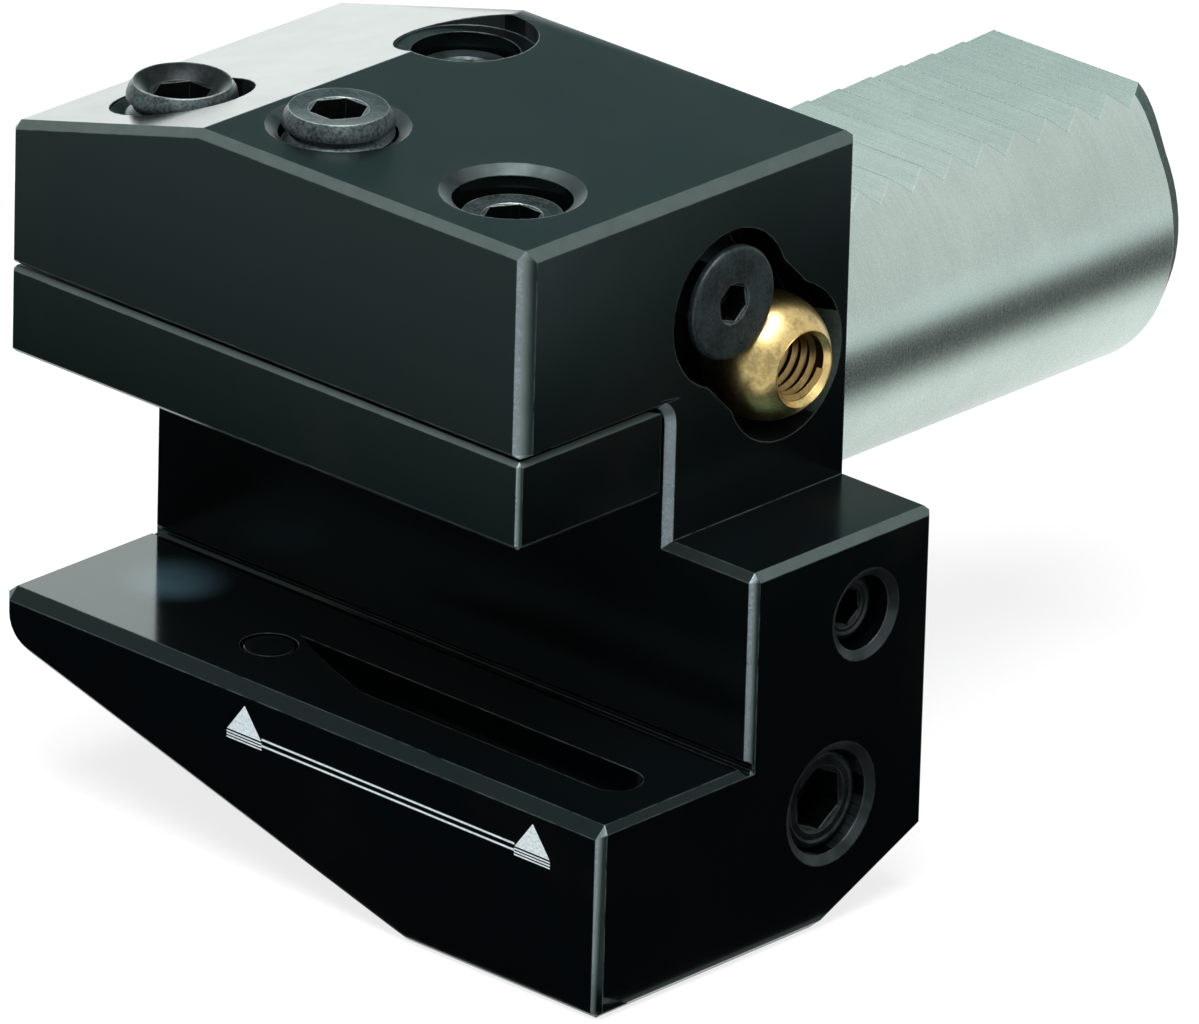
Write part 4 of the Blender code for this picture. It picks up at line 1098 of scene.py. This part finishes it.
def make_shutoff(sizes, colours):
    """The shut-off screw and the ball that it pushes."""
    finish = oiled_steel("shutoff_steel", colours, sizes.edge, 0.35, 0.15)
    # The socket copy is near black: painted shade inside the hex socket.
    deep = oiled_steel("shutoff_socket_painted_shade", colours, sizes.edge, 0.12, 0.08)
    socket_screw(
        "shutoff_stud", "valve_screw", (1, 0, 0), 3.0 * MM, 3.0 * MM, finish, deep, "shutoff_screw",
        turn=math.radians(8), dish=0.12 * MM,
    )
    low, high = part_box("valve_ball")
    radius = (high.x - low.x) / 2
    stations = [(0, -radius)]
    for i in range(1, 48):
        angle = math.pi * i / 48
        stations.append((radius * math.sin(angle), -radius * math.cos(angle)))
    stations.append((0, radius))
    place = aim((low + high) / 2, (1, 0, 0))
    mesh = turned("shutoff_sphere", stations, bright_steel("ball_steel", colours, sizes.edge), matrix=place)
    new_piece("shutoff_sphere", mesh, "shutoff_ball", ("valve_ball",))


def make_plugs(sizes, colours):
    """The plugs that close the ends of the channels."""
    steel = oiled_steel("plug_steel", colours, sizes.edge, 0.35, 0.15)
    dull = oiled_steel("plug_dull", colours, sizes.edge, 0.8, 0.25)
    # The socket copy is near black: painted shade inside the hex socket.
    deep = oiled_steel("plug_socket_painted_shade", colours, sizes.edge, 0.12, 0.08)
    socket_screw(
        "top_channel_plug", "rear_channel_plug", (0, 0, 1), 4.0 * MM, 3.6 * MM, dull, deep, "holder",
    )
    socket_screw(
        "end_channel_plug", "side_channel_plug", (1, 0, 0), 5.0 * MM, 4.0 * MM, steel, deep, "holder",
        turn=math.radians(4), dish=0.1 * MM,
    )
    socket_screw(
        "back_port_plug", "spare_port_plug", (0, 1, 0), 4.0 * MM, 3.0 * MM, steel, deep, "holder",
        rim=0.35 * MM,
    )
    low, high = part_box("seat_plug")
    radius = (high.x - low.x) / 2
    height = high.z - low.z
    middle = (low + high) / 2
    stations = [(0, 0), (radius, 0), *quarter(radius, height, 0.12 * MM), (radius * 0.6, height), (0, height)]
    mesh = turned(
        "pressed_plug", stations, blackened_steel("pressed_plug_steel", colours, sizes.edge),
        matrix=aim((middle.x, middle.y, low.z)),
    )
    new_piece("pressed_plug", mesh, "holder", ("seat_plug",))


def seal_ring(name, node, direction, finish, body):
    """A round-section ring in the place of a packed one."""
    low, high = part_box(node)
    axis = max(range(3), key=lambda i: abs(direction[i]))
    cord = (high[axis] - low[axis]) / 2
    other = (axis + 1) % 3
    outer = (high[other] - low[other]) / 2
    stations = []
    for i in range(20):
        angle = 2 * math.pi * i / 20
        stations.append((outer - cord + cord * math.cos(angle), cord * math.sin(angle)))
    place = aim((low + high) / 2, direction)
    mesh = turned(name, stations, finish, closed=True, matrix=place, angle=60)
    return new_piece(name, mesh, body, (node,))


def make_seals(sizes, colours):
    """The sealing rings of the flange, the inlet and the ball."""
    rubber = seal_rubber("seal_rubber", colours)
    seal_ring("root_ring", "flange_seal", (0, 1, 0), rubber, "holder")
    seal_ring("inlet_ring", "inlet_seal", (0, 1, 0), rubber, "holder")
    seal_ring("ball_ring", "nozzle_seal", (1, 0, 0), rubber, "nozzle_ring")


# the range mark


def make_range_mark(sizes, colours):
    """The engraved arrows that show how far a tool may stand on the seat."""
    bm = bmesh.new()
    front = HEAD_FRONT
    back = HEAD_FRONT + sizes.mark_depth

    def plate(outline):
        """A thin inlay of that outline, flush with the front face."""
        near = [bm.verts.new((x * MM, front, z * MM)) for x, z in outline]
        far = [bm.verts.new((x * MM, back, z * MM)) for x, z in outline]
        bm.faces.new(near)
        bm.faces.new(far[::-1])
        for i in range(len(outline)):
            k = (i + 1) % len(outline)
            bm.faces.new((near[i], far[i], far[k], near[k]))

    def bar(left, right, low, high):
        """A straight bar of the mark."""
        plate([(left, low), (right, low), (right, high), (left, high)])

    for middle in ARROWS:
        plate([(middle - 2.0, -25.05), (middle + 2.0, -25.05), (middle, -22.4)])
        for row in range(3):
            low = -25.22 - 0.26 * row
            bar(middle - 2.05, middle + 2.05, low - 0.13, low)
    for height in (-24.85, -25.42):
        bar(ARROWS[0] + 2.05, ARROWS[1] - 2.05, height - 0.09, height + 0.09)
    bmesh.ops.recalc_face_normals(bm, faces=bm.faces)
    mesh = bpy.data.meshes.new("range_mark")
    bm.to_mesh(mesh)
    bm.free()
    mesh.materials.append(engraved_mark("engraved_mark", colours))
    return new_piece("range_mark", mesh, "holder")


# the stage


def plain_glow(name, colour, strength):
    """A surface that only glows."""
    finish = Finish(name)
    glow = finish.node("ShaderNodeEmission", None, {"Color": rgb(colour), "Strength": strength})
    output = finish.node("ShaderNodeOutputMaterial")
    finish.tree.links.new(glow.outputs[0], output.inputs["Surface"])
    return finish.material


def stage_sheet(name, corners, material):
    """A flat sheet of the stage, its corners in millimetres."""
    mesh = bpy.data.meshes.new(name)
    points = [tuple(part * MM for part in corner) for corner in corners]
    mesh.from_pydata(points, [], [tuple(range(len(points)))])
    mesh.materials.append(material)
    sheet = bpy.data.objects.new(name, mesh)
    bpy.context.scene.collection.objects.link(sheet)
    return sheet


def reflected_only(sheet):
    """Lets a sheet show in reflections and nowhere else."""
    sheet.visible_camera = False
    sheet.visible_diffuse = False
    sheet.visible_shadow = False
    sheet.visible_transmission = False
    sheet.visible_volume_scatter = False


def floor_material():
    """Pale paper: as bright as written to the eye and in reflections, and it keeps a soft shadow."""
    finish = Finish("pale_paper")
    place = finish.place()
    fibre = finish.noise(place, 900.0, 3.0, 0.6)
    paper = finish.mix(fibre, rgb((0.86, 0.86, 0.86)), rgb((0.90, 0.90, 0.90)))
    lit = finish.node("ShaderNodeBsdfDiffuse", None, {"Color": paper})
    glow = finish.node("ShaderNodeEmission", None, {"Color": rgb((1, 1, 1)), "Strength": 1.0})
    path = finish.node("ShaderNodeLightPath")
    seen = finish.greater(finish.wire(path, "Is Camera Ray"), finish.wire(path, "Is Glossy Ray"))
    seen = finish.greater(seen, finish.wire(path, "Is Transmission Ray"))
    both = finish.node("ShaderNodeMixShader", None, {0: seen * 0.80})
    finish.tree.links.new(lit.outputs[0], both.inputs[1])
    finish.tree.links.new(glow.outputs[0], both.inputs[2])
    output = finish.node("ShaderNodeOutputMaterial")
    finish.tree.links.new(both.outputs[0], output.inputs["Surface"])
    return finish.material


def make_world(studio):
    """White to the eye and in reflections, and a plain soft light otherwise."""
    world = bpy.data.worlds.new("studio")
    bpy.context.scene.world = world
    world.use_nodes = True
    nodes, links = world.node_tree.nodes, world.node_tree.links
    nodes.clear()
    path = nodes.new("ShaderNodeLightPath")
    seen = nodes.new("ShaderNodeMath")
    seen.operation = "MAXIMUM"
    links.new(path.outputs["Is Camera Ray"], seen.inputs[0])
    links.new(path.outputs["Is Glossy Ray"], seen.inputs[1])
    also = nodes.new("ShaderNodeMath")
    also.operation = "MAXIMUM"
    links.new(seen.outputs[0], also.inputs[0])
    links.new(path.outputs["Is Transmission Ray"], also.inputs[1])
    strength = nodes.new("ShaderNodeMath")
    strength.operation = "MULTIPLY_ADD"
    links.new(also.outputs[0], strength.inputs[0])
    strength.inputs[1].default_value = 1.0 - studio.room
    strength.inputs[2].default_value = studio.room
    sky = nodes.new("ShaderNodeBackground")
    links.new(strength.outputs[0], sky.inputs["Strength"])
    output = nodes.new("ShaderNodeOutputWorld")
    links.new(sky.outputs[0], output.inputs["Surface"])


def add_lamp(name, place, target, size, power):
    """A soft square lamp that looks at a point."""
    light = bpy.data.lights.new(name, "AREA")
    light.shape = "RECTANGLE"
    light.size, light.size_y = (side * MM for side in size)
    light.energy = power
    lamp = bpy.data.objects.new(name, light)
    bpy.context.scene.collection.objects.link(lamp)
    spot = Vector(place) * MM
    lamp.location = spot
    lamp.rotation_euler = (Vector(target) * MM - spot).to_track_quat("-Z", "Y").to_euler()
    lamp.visible_camera = False
    return lamp


def make_camera(studio):
    """The camera at the picture's own angle."""
    turn, rise = studio.turn, studio.rise
    back = Vector((math.cos(rise) * math.cos(turn), -math.cos(rise) * math.sin(turn), math.sin(rise)))
    level = (-back).cross(Vector((0, 0, 1))).normalized()
    upward = level.cross(-back)
    right = math.cos(studio.roll) * level + math.sin(studio.roll) * upward
    up = -math.sin(studio.roll) * level + math.cos(studio.roll) * upward
    data = bpy.data.cameras.new("camera")
    data.sensor_fit = "HORIZONTAL"
    data.sensor_width = SENSOR
    data.lens = studio.focal * SENSOR / PICTURE[0]
    data.clip_start = 0.05
    data.clip_end = 20.0
    camera = bpy.data.objects.new("camera", data)
    bpy.context.scene.collection.objects.link(camera)
    place = right * studio.aside + up * studio.above + back * studio.distance
    camera.matrix_world = Matrix.Translation(place) @ Matrix((right, up, back)).transposed().to_4x4()
    bpy.context.scene.camera = camera


def graded_flag(name, axis, dark, light, strength, colour=(0.86, 1.0, 0.97)):
    """A sheet that is black up to one place along an axis and brightens softly to another."""
    finish = Finish(name)
    along = finish.parts(finish.place())[axis]
    shown = finish.step(along, min(dark, light) * MM, max(dark, light) * MM)
    if dark > light:
        shown = 1.0 - shown
    glow = finish.node("ShaderNodeEmission", None, {"Color": rgb(colour), "Strength": shown * strength})
    output = finish.node("ShaderNodeOutputMaterial")
    finish.tree.links.new(glow.outputs[0], output.inputs["Surface"])
    return finish.material


def floor_sheet(name, outline, height, material):
    """A sheet just above the floor that only reflections see, its outline in millimetres."""
    reflected_only(stage_sheet(name, [(x, y, height) for x, y in outline], material))


def make_flags(studio, floor):
    """The dark flags on the floor and behind, and the two light cards, which give the faces their tones."""
    flag, card = floor + 0.4, floor + 1.4
    floor_sheet(
        "flag_right", [(36, -36), (420, -180), (420, 112), (46, 112), (46, 40), (36, 20)], flag,
        graded_flag("side_floor", 0, 135.0, 270.0, 0.35),
    )
    floor_sheet(
        "flag_behind", [(46, 112), (420, 112), (420, 420), (46, 420)], flag,
        graded_flag("rear_floor", 0, 84.0, 140.0, 1.0, (0.93, 0.98, 1.0)),
    )
    floor_sheet(
        "flag_shank", [(28, 34), (46, 42), (46, 140), (28, 140)], flag,
        graded_flag("shank_floor", 0, 50.0, 28.0, 1.0, (0.95, 0.98, 0.96)),
    )
    floor_sheet(
        "flag_front", [(-420, -420), (180, -420), (36, -36), (-420, -36)], flag,
        graded_flag("front_floor", 1, -84.0, -165.0, 1.0),
    )
    floor_sheet(
        "card_low", [(121, 34), (148, 34), (148, 114), (127, 114), (121, 60)], card,
        graded_flag("low_card", 1, 128.0, 60.0, 2.0),
    )
    reflected_only(stage_sheet(
        "flag_back", [(-260, 40, 62), (-20, 300, 62), (-20, 300, 250), (-260, 40, 250)],
        plain_glow("dim_flag", (0.53, 1.0, 0.97), 0.34),
    ))
    reflected_only(stage_sheet(
        "card_left", [(-215, 10, 5), (-60, 165, 5), (-60, 165, 62), (-215, 10, 62)],
        plain_glow("white_card", (0.96, 1.0, 0.985), studio.card),
    ))


def make_stage(studio):
    """Floor, flags, cards, lamp, sky and camera."""
    floor = CAD_BOX[0][2] / MM
    reach = 2500
    corners = [(x * reach, y * reach, floor) for x, y in ((-1, -1), (1, -1), (1, 1), (-1, 1))]
    stage_sheet("floor", corners, floor_material())
    make_flags(studio, floor)
    add_lamp("lamp_over", (60, -160, 620), (0, 0, 0), (520, 520), studio.lamp)
    make_world(studio)
    make_camera(studio)
    bpy.context.scene.view_settings.view_transform = "Standard"


# operators


def settings():
    """The sizes, colours and studio settings of the scene."""
    scene = bpy.context.scene
    return scene.holder_sizes, scene.holder_colours, scene.holder_studio


class BuildHead(bpy.types.Operator):
    """Dress the head and its shank"""

    bl_idname = "tool_holder.head"
    bl_label = "Head and shank"

    def execute(self, context):
        make_head(*settings()[:2])
        return {"FINISHED"}


class BuildBar(bpy.types.Operator):
    """Dress the clamping bar"""

    bl_idname = "tool_holder.bar"
    bl_label = "Clamping bar"

    def execute(self, context):
        make_bar(*settings()[:2])
        return {"FINISHED"}


class BuildClampScrews(bpy.types.Operator):
    """Make the three clamping screws with their threads"""

    bl_idname = "tool_holder.clamp_screws"
    bl_label = "Clamping screws"

    def execute(self, context):
        make_clamp_screws(*settings()[:2])
        return {"FINISHED"}


class BuildHangers(bpy.types.Operator):
    """Make the cap screws that carry the bar"""

    bl_idname = "tool_holder.hangers"
    bl_label = "Hanger screws"

    def execute(self, context):
        make_hangers(*settings()[:2])
        return {"FINISHED"}


class BuildSprings(bpy.types.Operator):
    """Wind the springs that lift the bar"""

    bl_idname = "tool_holder.springs"
    bl_label = "Lifting springs"

    def execute(self, context):
        make_springs(*settings()[:2])
        return {"FINISHED"}


class BuildNozzle(bpy.types.Operator):
    """Make the brass coolant ball with its threaded outlet"""

    bl_idname = "tool_holder.nozzle"
    bl_label = "Coolant ball"

    def execute(self, context):
        make_nozzle(*settings()[:2])
        return {"FINISHED"}


class BuildNozzleScrew(bpy.types.Operator):
    """Make the countersunk screw that holds the ball"""

    bl_idname = "tool_holder.nozzle_screw"
    bl_label = "Ball screw"

    def execute(self, context):
        make_nozzle_screw(*settings()[:2])
        return {"FINISHED"}


class BuildShutoff(bpy.types.Operator):
    """Make the shut-off screw and its ball"""

    bl_idname = "tool_holder.shutoff"
    bl_label = "Shut-off"

    def execute(self, context):
        make_shutoff(*settings()[:2])
        return {"FINISHED"}


class BuildPlugs(bpy.types.Operator):
    """Make the plugs that close the channels"""

    bl_idname = "tool_holder.plugs"
    bl_label = "Plugs"

    def execute(self, context):
        make_plugs(*settings()[:2])
        return {"FINISHED"}


class BuildSeals(bpy.types.Operator):
    """Make the sealing rings"""

    bl_idname = "tool_holder.seals"
    bl_label = "Seals"

    def execute(self, context):
        make_seals(*settings()[:2])
        return {"FINISHED"}


class BuildRangeMark(bpy.types.Operator):
    """Make the engraved arrows on the front"""

    bl_idname = "tool_holder.range_mark"
    bl_label = "Range mark"

    def execute(self, context):
        make_range_mark(*settings()[:2])
        return {"FINISHED"}


class BuildStage(bpy.types.Operator):
    """Set the floor, the lights and the camera"""

    bl_idname = "tool_holder.stage"
    bl_label = "Stage"

    def execute(self, context):
        make_stage(settings()[2])
        return {"FINISHED"}


BUILDERS = (
    BuildHead, BuildBar, BuildClampScrews, BuildHangers, BuildSprings, BuildNozzle, BuildNozzleScrew,
    BuildShutoff, BuildPlugs, BuildSeals, BuildRangeMark, BuildStage,
)


class HolderPanel(bpy.types.Panel):
    """The builders and their settings"""

    bl_idname = "VIEW3D_PT_tool_holder"
    bl_label = "Tool holder"
    bl_space_type = "VIEW_3D"
    bl_region_type = "UI"
    bl_category = "Tool holder"

    def draw(self, context):
        layout = self.layout
        for builder in BUILDERS:
            layout.operator(builder.bl_idname)
        for group in settings():
            box = layout.box()
            for name in group.bl_rna.properties.keys():
                if name not in ("rna_type", "name"):
                    box.prop(group, name)


CLASSES = (HolderSizes, HolderColours, StudioSettings, *BUILDERS, HolderPanel)


def register():
    """Makes the builders, the panel and the settings known to Blender."""
    for item in CLASSES:
        bpy.utils.register_class(item)
    bpy.types.Scene.holder_sizes = bpy.props.PointerProperty(type=HolderSizes)
    bpy.types.Scene.holder_colours = bpy.props.PointerProperty(type=HolderColours)
    bpy.types.Scene.holder_studio = bpy.props.PointerProperty(type=StudioSettings)


def unregister():
    """Takes them out again."""
    del bpy.types.Scene.holder_studio
    del bpy.types.Scene.holder_colours
    del bpy.types.Scene.holder_sizes
    for item in reversed(CLASSES):
        bpy.utils.unregister_class(item)


def main():
    """Builds every piece and the stage."""
    register()
    for builder in BUILDERS:
        group, name = builder.bl_idname.split(".")
        getattr(getattr(bpy.ops, group), name)()
    bpy.context.view_layer.update()


if __name__ == "__main__":
    main()
